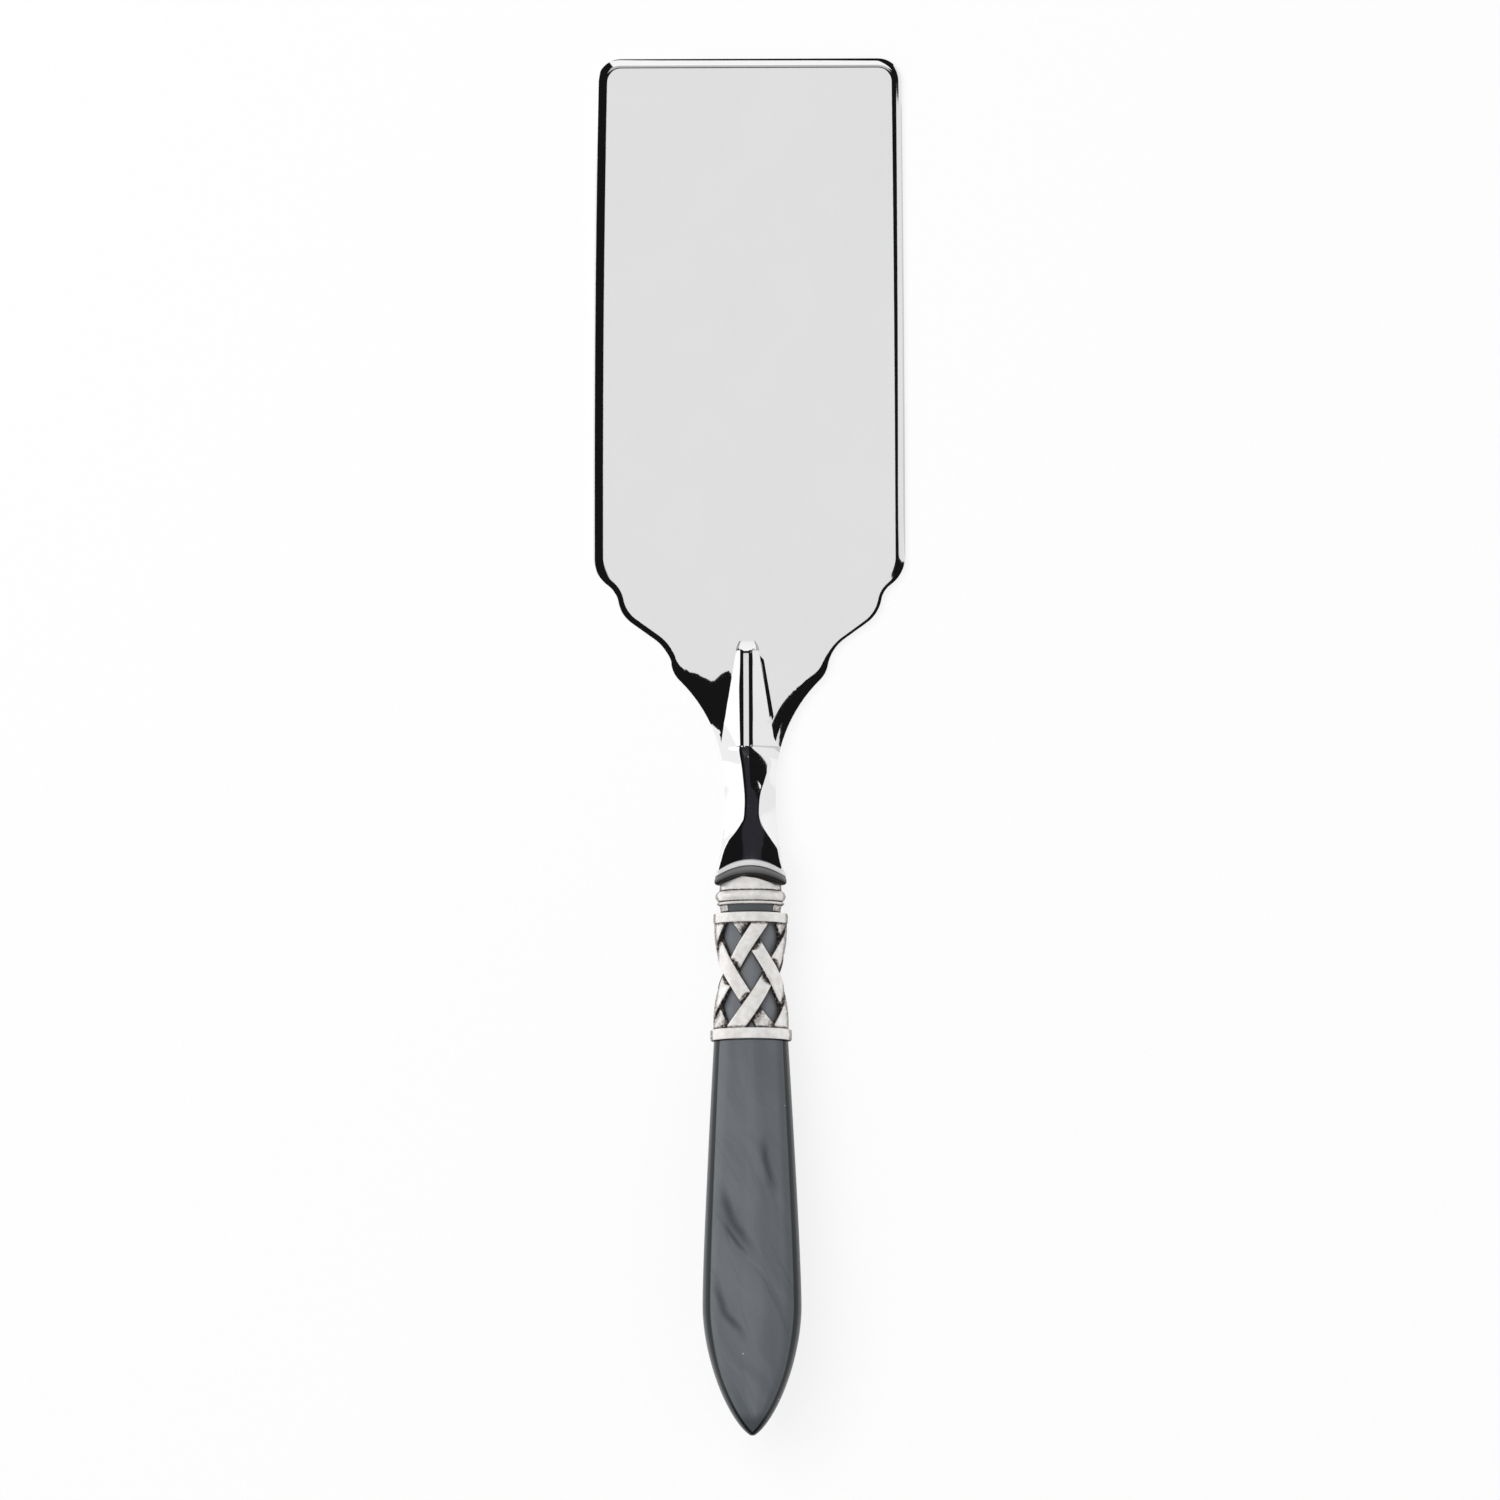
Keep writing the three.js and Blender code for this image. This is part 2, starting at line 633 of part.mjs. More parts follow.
function handleSolid() {
  const rings = [];
  for (const share of [0, 0.45, 0.6, 0.7, 0.8, 0.9, 1]) {
    const place = THREE.MathUtils.lerp(SPIGOT_START, HANDLE_START, share);
    rings.push(handleRing(place, ...spigotSize(place), 2));
  }
  const startRise = HANDLE_START_WIDTH / 2 * OVAL;
  const side = new THREE.QuadraticBezierCurve(
    new THREE.Vector2(HANDLE_START_WIDTH / 2, 0),
    new THREE.Vector2(HANDLE_WIDTH / 2, HANDLE_SWELL_AT * 0.81),
    new THREE.Vector2(HANDLE_WIDTH / 2, HANDLE_SWELL_AT),
  );
  for (const share of [0, 0.15, 0.3, 0.45, 0.6, 0.8, 1]) {
    const point = side.getPoint(share);
    rings.push(handleRing(
      HANDLE_START + point.y,
      point.x,
      THREE.MathUtils.lerp(startRise, HANDLE_THICKNESS / 2, share),
      THREE.MathUtils.lerp(2, HANDLE_SQUARENESS, share),
    ));
  }
  for (const share of [0.15, 0.3, 0.45, 0.6, 0.72, 0.82, 0.9, 0.95, 0.98, 0.995]) {
    rings.push(handleRing(
      HANDLE_START + THREE.MathUtils.lerp(HANDLE_SWELL_AT, HANDLE_LENGTH, share),
      HANDLE_WIDTH / 2 * (1 - share ** 1.75) ** 0.7,
      HANDLE_THICKNESS / 2 * (1 - share ** 2.6) ** 0.65,
      HANDLE_SQUARENESS,
    ));
  }
  const bore = roundedBar(SPIGOT_START - 1, TANG_END + GAP + GLUE_WALL + GAP, GAP + GLUE_WALL + GAP);
  return solid(loft(rings)).subtract(bore);
}

function glueSolid() {
  return roundedBar(SPIGOT_START, TANG_END + GAP + GLUE_WALL, GAP + GLUE_WALL)
    .subtract(roundedBar(SPIGOT_START - 1, TANG_END + GAP, GAP));
}

// Assembly

const polishedSteel = { color: 0xdcdcdd, metalness: 1, roughness: 0.06 };
const agedSilver = { color: 0xcfcbc4, metalness: 1, roughness: 0.35 };

function piece(name, geometry, finish) {
  const mesh = new THREE.Mesh(geometry, new THREE.MeshStandardMaterial(finish));
  mesh.name = name;
  return mesh;
}

const blade = piece('blade', geometryOf(solid(bladeGeometry())), polishedSteel);

grip.add(
  piece('neck', geometryOf(neckSolid()), polishedSteel),
  piece('tang', geometryOf(roundedBar(TANG_START + GAP, TANG_END, 0)), {
    color: 0xa9abad,
    metalness: 1,
    roughness: 0.4,
  }),
  piece('ferrule_cap', geometryOf(capSolid()), agedSilver),
  piece('lattice_sleeve', geometryOf(sleeveSolid()), agedSilver),
  piece('handle', geometryOf(handleSolid()), { color: 0x696e73, metalness: 0, roughness: 0.18 }),
  piece('adhesive', geometryOf(glueSolid()), { color: 0xd9cba3, metalness: 0, roughness: 0.5 }),
);

const server = new THREE.Group();
server.name = 'lasagna_server';
server.add(blade, grip);

// The origin goes below the middle of the whole length.
const reach = new THREE.Box3().setFromObject(server, true);
server.position.y = -(reach.min.y + reach.max.y) / 2;

export default server;
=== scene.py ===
# %% [markdown]
# # A lasagna server, shaped again around its measured part
#
# The real server is a wide polished blade on a faceted neck, a cast silver ferrule with woven windows, and
# a handle of pearl resin. The measured part gives every place and size. This lesson loads it, models each
# visible piece once more with finer edges, and gives each one its finish. The tang and its glue lie inside,
# so they stay as measured.

import bisect
import math

import bmesh
import bpy
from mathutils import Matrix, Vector


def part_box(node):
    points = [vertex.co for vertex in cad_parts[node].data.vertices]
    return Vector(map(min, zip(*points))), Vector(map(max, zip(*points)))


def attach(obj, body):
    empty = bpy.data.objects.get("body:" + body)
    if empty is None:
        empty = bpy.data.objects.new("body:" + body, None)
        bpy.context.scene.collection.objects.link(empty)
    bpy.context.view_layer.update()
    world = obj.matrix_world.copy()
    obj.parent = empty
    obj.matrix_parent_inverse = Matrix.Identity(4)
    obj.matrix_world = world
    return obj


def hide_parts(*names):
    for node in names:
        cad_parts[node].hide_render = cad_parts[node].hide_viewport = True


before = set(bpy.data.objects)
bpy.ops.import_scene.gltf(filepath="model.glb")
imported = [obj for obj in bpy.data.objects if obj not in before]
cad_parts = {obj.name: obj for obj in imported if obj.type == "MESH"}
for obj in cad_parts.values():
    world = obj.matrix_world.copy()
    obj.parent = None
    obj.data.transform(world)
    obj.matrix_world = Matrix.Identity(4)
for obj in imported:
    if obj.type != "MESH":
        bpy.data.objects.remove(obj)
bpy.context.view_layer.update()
print("Nodes:", ", ".join(sorted(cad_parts)))

# %% [markdown]
# ## Drawing with a compass
#
# The blade's outline is a chain of arcs, as a pattern maker would draw it with a compass. In Blender one
# vertex can be the pencil: Spin carries it round a centre and leaves edges behind, and Extrude draws a
# straight run. A heading says where the pencil goes: 0 is towards the handle, and 90 degrees is straight at
# the middle line.

# %% A pencil made of one vertex
MM = 0.001
TINY = 0.001 * MM


def add(primitive, name, **sizes):
    """Add a primitive at the origin with nothing else selected, and open it in edit mode."""
    bpy.ops.object.select_all(action="DESELECT")
    primitive(enter_editmode=True, **sizes)
    piece = bpy.context.object
    piece.name = name
    piece.data.name = name
    return piece


def choose_all():
    """Select the whole mesh."""
    bpy.ops.mesh.select_all(action="SELECT")


def close_mesh():
    """Turn all faces outwards and leave edit mode."""
    choose_all()
    bpy.ops.mesh.normals_make_consistent(inside=False)
    bpy.ops.object.mode_set(mode="OBJECT")


def choose(piece, test):
    """Select only the vertices whose place passes the test."""
    bpy.ops.mesh.select_all(action="DESELECT")
    mesh = bmesh.from_edit_mesh(piece.data)
    for vertex in mesh.verts:
        if test(vertex.co):
            vertex.select_set(True)
    mesh.select_flush_mode()
    bmesh.update_edit_mesh(piece.data)


def start_line(name, x, y):
    """Shrink a small plane to one selected vertex at the given place."""
    piece = add(bpy.ops.mesh.primitive_plane_add, name, size=MM)
    bpy.ops.mesh.merge(type="CENTER")
    bpy.ops.transform.translate(value=(x, y, 0))
    return piece


def pencil(piece):
    """Where the selected vertex is."""
    mesh = bmesh.from_edit_mesh(piece.data)
    return next(vertex.co.copy() for vertex in mesh.verts if vertex.select)


def draw_to(piece, x, y):
    """Draw a straight line to a place."""
    run = Vector((x, y, 0)) - pencil(piece)
    bpy.ops.mesh.extrude_region_move(TRANSFORM_OT_translate={"value": run})


def draw_arc(piece, radius, start, end, steps):
    """Draw an arc that turns the pencil from one heading to another."""
    side = math.copysign(1, end - start)
    centre = pencil(piece) + side * radius * Vector((-math.cos(start), math.sin(start), 0))
    bpy.ops.mesh.spin(steps=steps, angle=end - start, center=centre, axis=(0, 0, 1))
    return centre


# %% Draw one half of the blade's outline
BLADE_REACH = 146 * MM
BLADE_HALF = 33.09 * MM
BLADE_TAPER = 1.2 * MM
TIP_CORNER = 5 * MM
SHOULDER_Y = 40.4 * MM
# Each arc's radius in mm, its last heading in degrees and the straight run after it in mm
SCALLOPS = [(7.5, 54, 0), (5.1, 10.5, 0), (7.7, 54.4, 5.8), (9.0, 10.9, 0), (6.0, 45.6, 0)]
WAIST_HALF = 5.4 * MM
TAIL_HALF = 2.2 * MM
TAIL_LENGTH = 6 * MM
ARC_STEPS = 12
SIDE_STEPS = 16
WAIST_STEPS = 10

tip_half = BLADE_HALF - BLADE_TAPER
blade = start_line("blade_sheet", tip_half - TIP_CORNER, BLADE_REACH)
side_length = BLADE_REACH - TIP_CORNER - SHOULDER_Y
side_heading = -2 * math.atan(BLADE_TAPER / side_length)
draw_arc(blade, TIP_CORNER, -math.pi / 2, side_heading, ARC_STEPS)
corner = pencil(blade)
side_radius = (corner.y - SHOULDER_Y) / math.sin(-side_heading)
draw_arc(blade, side_radius, side_heading, 0, SIDE_STEPS)
heading = 0
for radius, degrees, run in SCALLOPS:
    draw_arc(blade, radius * MM, heading, math.radians(degrees), ARC_STEPS)
    heading = math.radians(degrees)
    if run:
        here = pencil(blade)
        draw_to(blade, here.x - run * MM * math.sin(heading), here.y - run * MM * math.cos(heading))
shoulder_end = pencil(blade)
waist_radius = (shoulder_end.x - WAIST_HALF) / (1 - math.cos(heading))
neck_heading = math.asin(math.sin(heading) - shoulder_end.y / waist_radius)
waist_centre = draw_arc(blade, waist_radius, heading, neck_heading, WAIST_STEPS)
print("The shoulder meets the neck", round(pencil(blade).x / MM, 2), "mm from the middle")
outline = sorted((vertex.co.y, vertex.co.x) for vertex in bmesh.from_edit_mesh(blade.data).verts)
draw_to(blade, TAIL_HALF, pencil(blade).y)
draw_to(blade, TAIL_HALF, -TAIL_LENGTH)

# %% [markdown]
# ## The sheet and its rolled edge
#
# The real blade is stamped from sheet, then its upper edge is rounded on a belt. Here the half outline is
# mirrored, and its right side opens a little towards the tip, as in the photo. The filled face is extruded
# to the sheet's thickness, and a few insets, each a little higher than the one before, round its edge. A
# last flat inset keeps the wide face evenly shaded.

# %% Fill the outline and round its edge
BLADE_THICKNESS = 1.8 * MM
RIM_WIDTH = 2.1 * MM
RIM_DROP = 0.6 * MM
RIM_STEPS = 8
FACE_INSET = 0.2 * MM
RIGHT_FLARE = 0.85 * MM

choose_all()
bpy.ops.mesh.duplicate()
bpy.ops.transform.resize(value=(-1, 1, 1), center_override=(0, 0, 0))
mesh = bmesh.from_edit_mesh(blade.data)
for vertex in mesh.verts:
    if vertex.co.x > 0 and vertex.co.y > SHOULDER_Y:
        ahead = (vertex.co.y - SHOULDER_Y) / (BLADE_REACH - SHOULDER_Y)
        vertex.co.x += RIGHT_FLARE * ahead**2 * vertex.co.x / BLADE_HALF
bmesh.update_edit_mesh(blade.data)
for end in (BLADE_REACH, -TAIL_LENGTH):
    choose(blade, lambda place: abs(place.y - end) < TINY)
    bpy.ops.mesh.edge_face_add()
choose_all()
bpy.ops.mesh.edge_face_add()
lift = {"value": (0, 0, BLADE_THICKNESS - RIM_DROP)}
bpy.ops.mesh.extrude_region_move(TRANSFORM_OT_translate=lift)
for step in range(RIM_STEPS):
    outer = (1 - step / RIM_STEPS) ** 2
    inner = (1 - (step + 1) / RIM_STEPS) ** 2
    bpy.ops.mesh.inset(thickness=RIM_WIDTH / RIM_STEPS, depth=RIM_DROP * (outer - inner))
bpy.ops.mesh.inset(thickness=FACE_INSET, depth=0)

# %% [markdown]
# ## Bending the heel
#
# Towards the neck the sheet bends up, and its edges stay a little lower than its middle. The rounded rim is
# wide and soft in the heel, more so on the left, and narrows to a thin line round the scallops. A weld runs
# up to the spine on the left. Bisect cuts the heel into rows and columns so that it can bend, a vertex group
# holds how far each vertex rises, and a Displace modifier lifts the sheet by it.

# %% The bend of the heel
HEEL_START = 30 * MM
HEEL_ANGLE = math.radians(8)
HEEL_DROOP_LEFT = 0.3
HEEL_DROOP_RIGHT = 0.1
HEEL_TENT = 4
HEEL_RADIUS = HEEL_START / math.sin(HEEL_ANGLE)


def mix(low, high, share):
    """A value between two others."""
    return low + (high - low) * share


def smooth(value, low, high):
    """A soft step from 0 to 1 between two values."""
    share = min(max((value - low) / (high - low), 0), 1)
    return share * share * (3 - 2 * share)


def heel_lift(y):
    """How far the middle of the sheet has risen."""
    if y >= HEEL_START:
        return 0
    if y >= 0:
        return HEEL_RADIUS - math.sqrt(HEEL_RADIUS**2 - (HEEL_START - y) ** 2)
    return HEEL_RADIUS * (1 - math.cos(HEEL_ANGLE)) - y * math.tan(HEEL_ANGLE)


def shoulder_half(y):
    """Half the width of blade and neck at a place along the shoulder."""
    if y < 0:
        rise = max(y, waist_centre.y) - waist_centre.y
        return waist_centre.x - math.sqrt(waist_radius**2 - rise**2)
    after = min(max(bisect.bisect_left(outline, (y, 0)), 1), len(outline) - 1)
    (y0, x0), (y1, x1) = outline[after - 1], outline[after]
    return x0 + (x1 - x0) * (y - y0) / (y1 - y0)


def underside(x, y):
    """Height of the sheet's underside."""
    across = min(abs(x) / shoulder_half(y), 1)
    droop = HEEL_DROOP_LEFT if x < 0 else HEEL_DROOP_RIGHT
    return heel_lift(y) * (1 - droop * across**HEEL_TENT)


# %% The heel's rim and the weld
# Width and depth of the rim at the heel, then round the scallops, and where it narrows between them
LEFT_RIM = ((7.5 * MM, 0.95 * MM), (1.2 * MM, 0.36 * MM), (11 * MM, 18.5 * MM))
RIGHT_RIM = ((4 * MM, 0.5 * MM), (0.55 * MM, 0.11 * MM), (8 * MM, 22 * MM))
SPINE_LENGTH = 20.5 * MM
SPINE_TIP_HALF = 2.5 * MM
SPINE_HALF = 6.1 * MM
SPINE_LEAN = -0.45 * MM
WELD_WIDTH = 4 * MM
WELD_HEIGHT = 0.35 * MM
WELD_FULL = 13 * MM
WELD_END = 18 * MM

corners = [Vector((x, y)) for y, x in outline]
edges = list(zip(corners, corners[1:]))


def inwards(x, y):
    """How far a spot of the sheet lies inside the outline."""
    spot = Vector((abs(x), y))
    gaps = []
    for start, end in edges:
        run = end - start
        share = min(max((spot - start).dot(run) / run.length_squared, 0), 1)
        gaps.append((spot - start - run * share).length)
    return min(gaps)


def rim_depth(x, y):
    """How far the rounded edge lies under the sheet's face."""
    at_heel, at_scallops, narrows = LEFT_RIM if x < 0 else RIGHT_RIM
    share = smooth(y, *narrows)
    width, depth = (mix(wide, thin, share) for wide, thin in zip(at_heel, at_scallops))
    return depth * max(1 - inwards(x, y) / width, 0) ** 2


def weld_height(x, y):
    """Height of the weld that runs up to the spine on its left."""
    if x > SPINE_LEAN:
        return 0
    beside = SPINE_LEAN - x - mix(SPINE_HALF, SPINE_TIP_HALF, y / SPINE_LENGTH)
    fade = 1 - smooth(y, WELD_FULL, WELD_END)
    return WELD_HEIGHT * max(1 - max(beside, 0) / WELD_WIDTH, 0) ** 2 * fade


def sheet_top(x, y):
    """Height of the sheet's upper face."""
    return underside(x, y) + BLADE_THICKNESS - rim_depth(x, y) + weld_height(x, y)


# %% Cut and lift the heel
HEEL_ROWS = range(-5, 31)
HEEL_COLUMNS = range(-24, 25)
COLUMN_STEP = 0.75
SCALLOP_RIM_FULL = 34 * MM
SCALLOP_RIM_END = 43 * MM
BLADE_SHARP = math.radians(35)

cuts = [((0, row * MM, 0), (0, 1, 0)) for row in HEEL_ROWS]
cuts += [((column * COLUMN_STEP * MM, 0, 0), (1, 0, 0)) for column in HEEL_COLUMNS]
for spot, across in cuts:
    choose_all()
    bpy.ops.mesh.bisect(plane_co=spot, plane_no=across)
close_mesh()

highest = heel_lift(-TAIL_LENGTH)
heel = blade.vertex_groups.new(name="heel")
for vertex in blade.data.vertices:
    x, y, z = vertex.co
    rise = underside(x, y)
    if z > BLADE_THICKNESS / 2 and y < SCALLOP_RIM_END:
        rise = mix(sheet_top(x, y) - z, rise, smooth(y, SCALLOP_RIM_FULL, SCALLOP_RIM_END))
    heel.add([vertex.index], rise / highest, "REPLACE")
raised = blade.modifiers.new("heel_lift", "DISPLACE")
raised.direction = "Z"
raised.mid_level = 0
raised.strength = highest
raised.vertex_group = "heel"
bpy.ops.object.modifier_apply(modifier="heel_lift")

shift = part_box("blade")[1].y - BLADE_REACH
blade.location.y = shift
bpy.ops.object.transform_apply()
bpy.ops.object.shade_smooth_by_angle(angle=BLADE_SHARP)
print("Blade:", len(blade.data.polygons), "faces, heel lifted", round(highest / MM, 2), "mm at its tail")

# %% [markdown]
# ## A skin through sections
#
# Neck, strips and handle change their section all the way along. By hand that is one ring, extruded and
# reshaped again and again. The next helper does this with a filled circle, whose vertices it fits to one
# section after the other. Each vertex also takes a number along, the soil and shade, which its finish reads
# later; it marks dark polish and dirt, and painted shade as well. These pieces are drawn along a level
# axis, with the neck's front face at y = 0, and turned up to the handle's rise when they are done.

# %% Skin a ring through sections and turn it onto the axis
HANDLE_RISE = math.radians(6.5)
AXIS_HEIGHT = 4.185 * MM


def fit(piece, section, soil_and_shade):
    """Move each selected vertex to its place in the section, and note its soil and shade."""
    mesh = bmesh.from_edit_mesh(piece.data)
    order = mesh.verts.layers.int["order"]
    grime_and_shade = mesh.verts.layers.float["soil_and_shade"]
    for vertex in mesh.verts:
        if vertex.select:
            vertex.co = section[vertex[order]]
            vertex[grime_and_shade] = soil_and_shade[vertex[order]]
    bmesh.update_edit_mesh(piece.data)


def skin(name, sections, soils_and_shades):
    """Extrude a filled ring through the sections and leave it as a closed piece."""
    count = len(sections[0])
    piece = add(bpy.ops.mesh.primitive_circle_add, name, vertices=count, radius=MM, fill_type="NGON")
    mesh = bmesh.from_edit_mesh(piece.data)
    order = mesh.verts.layers.int.new("order")
    mesh.verts.layers.float.new("soil_and_shade")
    mesh.verts.ensure_lookup_table()
    for number, vertex in enumerate(mesh.verts):
        vertex[order] = number
    bmesh.update_edit_mesh(piece.data)
    fit(piece, sections[0], soils_and_shades[0])
    for section, soil_and_shade in zip(sections[1:], soils_and_shades[1:]):
        bpy.ops.mesh.extrude_region_move()
        fit(piece, section, soil_and_shade)
    choose_all()
    bpy.ops.mesh.remove_doubles(threshold=TINY)
    close_mesh()
    return piece


def onto_axis(piece, angle):
    """Turn a piece up to the handle's rise, put it in place and smooth its shading."""
    piece.rotation_euler.x = -HANDLE_RISE
    piece.location = (0, shift, AXIS_HEIGHT)
    bpy.ops.object.transform_apply()
    bpy.ops.object.shade_smooth_by_angle(angle=math.radians(angle))
    print(piece.name, "has", len(piece.data.polygons), "faces")


def spread(low, high, steps):
    """Evenly spaced values from low to high, both included."""
    return [low + (high - low) * step / steps for step in range(steps + 1)]


# %% [markdown]
# ## The neck
#
# The neck is ground with flat facets. Its spine lies on the sheet with a narrow ridge, a facet down each
# side and a thin crease along its right, and ends in a blunt nose. Behind the blade the top opens to a
# shield that tilts to the right, draws in to a stripe and spreads over the oval foot like a tongue. The foot
# ends in a satin lip of two bands, whose dark lines and darker bands are painted shade. Each crease gets a
# small rounding, because a ground edge is never quite sharp and its thin line of reflection is what the eye
# reads.

# %% One section of the neck
CREASE_ROUNDING = 0.36 * MM
ROUNDING_LIMIT = 0.4
FACET_CROWN = 0.03 * MM
FACET_STEPS = 5
BELLY_STEPS = 16
TOE_KNEE = 0.1


def neck_side(roof, reach, knots, eave):
    """One side, from the ridge outwards: roof, rounded crease, facet down to the eave."""
    corner = Vector((reach, roof(reach)))
    facet = eave - corner
    rounding = min(CREASE_ROUNDING, ROUNDING_LIMIT * reach, ROUNDING_LIMIT * facet.length)
    flat = reach - rounding
    side = [Vector((share * flat, roof(share * flat))) for share in knots]
    before = side[-1]
    after = corner + facet.normalized() * rounding
    for share in (0.25, 0.5, 0.75, 1):
        side.append(before.lerp(corner, share).lerp(corner.lerp(after, share), share))
    for share in spread(0, 1, FACET_STEPS)[1:]:
        bulge = Vector((0, FACET_CROWN * math.sin(math.pi * share)))
        side.append(after.lerp(eave, share) + bulge)
    return side


def neck_section(place, middle, reach, roof, knots, left, right, bottom, arch=0, toe=None):
    """A closed section: roof and facets above, a toe on the right, a half-oval belly below."""
    shift_out = Vector((middle, 0))
    right_side = [point + shift_out for point in neck_side(roof, reach, knots, right - shift_out)]
    mirrored = Vector((-left.x + middle, left.y))
    left_side = neck_side(lambda x: roof(-x), reach, knots, mirrored)
    left_side = [Vector((middle - point.x, point.y)) for point in left_side]
    centre = (left.x + right.x) / 2
    half = (right.x - left.x) / 2
    belly = []
    for angle in spread(0, math.pi, BELLY_STEPS)[1:-1]:
        eave = mix(right.y, left.y, angle / math.pi)
        height = eave + (bottom - eave) * math.sin(angle)
        belly.append(Vector((centre + half * math.cos(angle), height)))
    toe = toe or right
    points = left_side[:0:-1] + right_side + [right.lerp(toe, TOE_KNEE), toe] + belly
    return [Vector((p.x, arch * (1 - ((p.x - centre) / half) ** 2) - place, p.y)) for p in points]


# %% Sections of the spine and its nose
NECK_TOP = 2.1 * MM
SPINE_NOSE = 2.1 * MM
SPINE_TIP_HEIGHT = 0.9 * MM
SPINE_STEPS = 32
SPINE_LAST = 0.99
SPINE_LOW = 0.3 * BLADE_THICKNESS
SPINE_OPENS = 0.9
NOSE_HEIGHT = 0.03 * MM
NOSE_EDGE = 0.15 * MM
# Share of the nose's length ahead of the spine, and half the nose's width there in mm
NOSE_HALVES = [(1, 1.7), (0.75, 2.02), (0.5, 2.22), (0.25, 2.36), (0.06, 2.45)]
EAVE_DEPTH = 0.1 * MM
TOE_WIDTH = 0.75 * MM
TOE_RISE = 0.06 * MM
TOE_SINK = 0.02 * MM
TOE_OPENS = (0, 0.1)
TOE_CLOSES = (0.68, 0.78)
RIDGE_MIDDLE = -0.775 * MM
RIDGE_FLAT = 0.58 * MM
RIDGE_REACH = 1.315 * MM
RIDGE_SLOPE = math.tan(math.radians(13))
RIDGE_KNEE = 0.06 * MM

neck_front_half = shoulder_half(0)


def over_axis(y, height):
    """A height over the table as a height over the handle's axis."""
    return y * math.sin(HANDLE_RISE) + (height - AXIS_HEIGHT) * math.cos(HANDLE_RISE)


def eave_at(x, y):
    """Where a facet's lower edge goes just into the sheet."""
    return Vector((x, over_axis(y, sheet_top(x, y) - EAVE_DEPTH)))


def spine_section(y, half, middle, lean, reach, top, slope, toe_share=0):
    """The spine's ridge is flat in the middle with a slight slope on each side."""
    flat = reach * RIDGE_FLAT / RIDGE_REACH
    near = RIDGE_KNEE / reach
    knee = flat / (reach - min(CREASE_ROUNDING, ROUNDING_LIMIT * reach))
    knots = [0, 0.5 * knee, knee - near, knee, knee + near, *spread(knee + near, 1, 4)[1:]]
    left, right = eave_at(lean - half, y), eave_at(lean + half, y)
    right.y += toe_share * (TOE_RISE + EAVE_DEPTH)
    toe = eave_at(right.x + toe_share * TOE_WIDTH, y)
    toe.y += toe_share * (EAVE_DEPTH - TOE_SINK)
    bottom = over_axis(y, underside(0, y) + SPINE_LOW)

    def roof(x):
        return top - slope * max(0, abs(x) - flat)

    return neck_section(-y, middle, reach, roof, knots, left, right, bottom, 0, toe)


sections = []
tip_top = over_axis(SPINE_LENGTH, sheet_top(0, SPINE_LENGTH) + SPINE_TIP_HEIGHT)
nose_y = SPINE_LENGTH + SPINE_NOSE
nose_top = over_axis(nose_y, sheet_top(0, nose_y) + NOSE_HEIGHT)
for ahead, half in NOSE_HALVES:
    y = SPINE_LENGTH + SPINE_NOSE * ahead
    top = mix(tip_top, nose_top, ahead)
    reach = half * MM - NOSE_EDGE
    sections.append(spine_section(y, half * MM, SPINE_LEAN, SPINE_LEAN, reach, top, 0))
for share in [*spread(0, SPINE_LAST, SPINE_STEPS), 1]:
    opened = smooth(share, SPINE_OPENS, 1)
    half = mix(mix(SPINE_TIP_HALF, SPINE_HALF, share), neck_front_half, opened)
    lean = SPINE_LEAN * (1 - opened)
    top = mix(tip_top, NECK_TOP, share)
    toe_share = smooth(share, *TOE_OPENS) * (1 - smooth(share, *TOE_CLOSES))
    y = SPINE_LENGTH * (1 - share)
    sections.append(spine_section(y, half, RIDGE_MIDDLE, lean, RIDGE_REACH, top, RIDGE_SLOPE, toe_share))
print("Spine and nose:", len(sections), "sections")

# %% Sections of shank, foot and lip
NECK_CHIN = 2.2 * MM
# Places behind the blade and how far each crease lies from the middle there, in mm
CREASE_LEFT = [
    (0, 2.09), (1, 2.25), (4.8, 1.65), (9.9, 1.15), (13, 1.15),
    (16.5, 1.6), (19.1, 3), (21.1, 4.7), (22.9, 5.8), (27.1, 7),
]
CREASE_RIGHT = [
    (0, 0.54), (2.7, 4.2), (4.8, 4.15), (7.3, 3.35), (9.9, 2.4), (12.4, 2),
    (15, 1.95), (17, 2.4), (19.1, 3.4), (21.1, 4.8), (22.9, 6.2), (27.1, 7),
]
SHIELD_SLOPE = math.tan(math.radians(19))
SHIELD_PIVOT = -0.1 * MM
SHIELD_FULL = 2 * MM
SHIELD_END = 14 * MM
SHANK_SLOPE = math.tan(math.radians(4))
TONGUE_SLOPE = math.tan(math.radians(14))
TONGUE_EDGE = 0.45 * MM
FOOT_LENGTH = 27.1 * MM
FOOT_HALF = 7.25 * MM
FOOT_ARCH = 2.6 * MM
FOOT_EDGE = 0.3 * MM
FOOT_FLARE = 2.5
FLARE_AT = 0.27
LIP_LENGTH = 2.8 * MM
LIP_BULGE = 0.7 * MM
LIP_FLATTER = 0.5 * MM
# Share of the lip's length, share of its bulge, and soil and shade: any of it makes the band satin, more of
# it paints the band darker as shade
LIP_BANDS = [
    (0.02, -0.1, 0.8), (0.06, 0.14, 0.25), (0.15, 0.3, 0.22), (0.28, 0.38, 0.22), (0.38, 0.38, 0.3),
    (0.42, 0.24, 1), (0.47, 0.34, 0.75), (0.6, 0.52, 0.72), (0.75, 0.58, 0.78), (0.88, 0.5, 0.85),
    (0.93, 0.35, 1), (0.97, 0, 1), (1, -0.6, 1),
]
OVAL = 0.68

waist_at = -waist_centre.y
even_knots = spread(0, 1, 8)


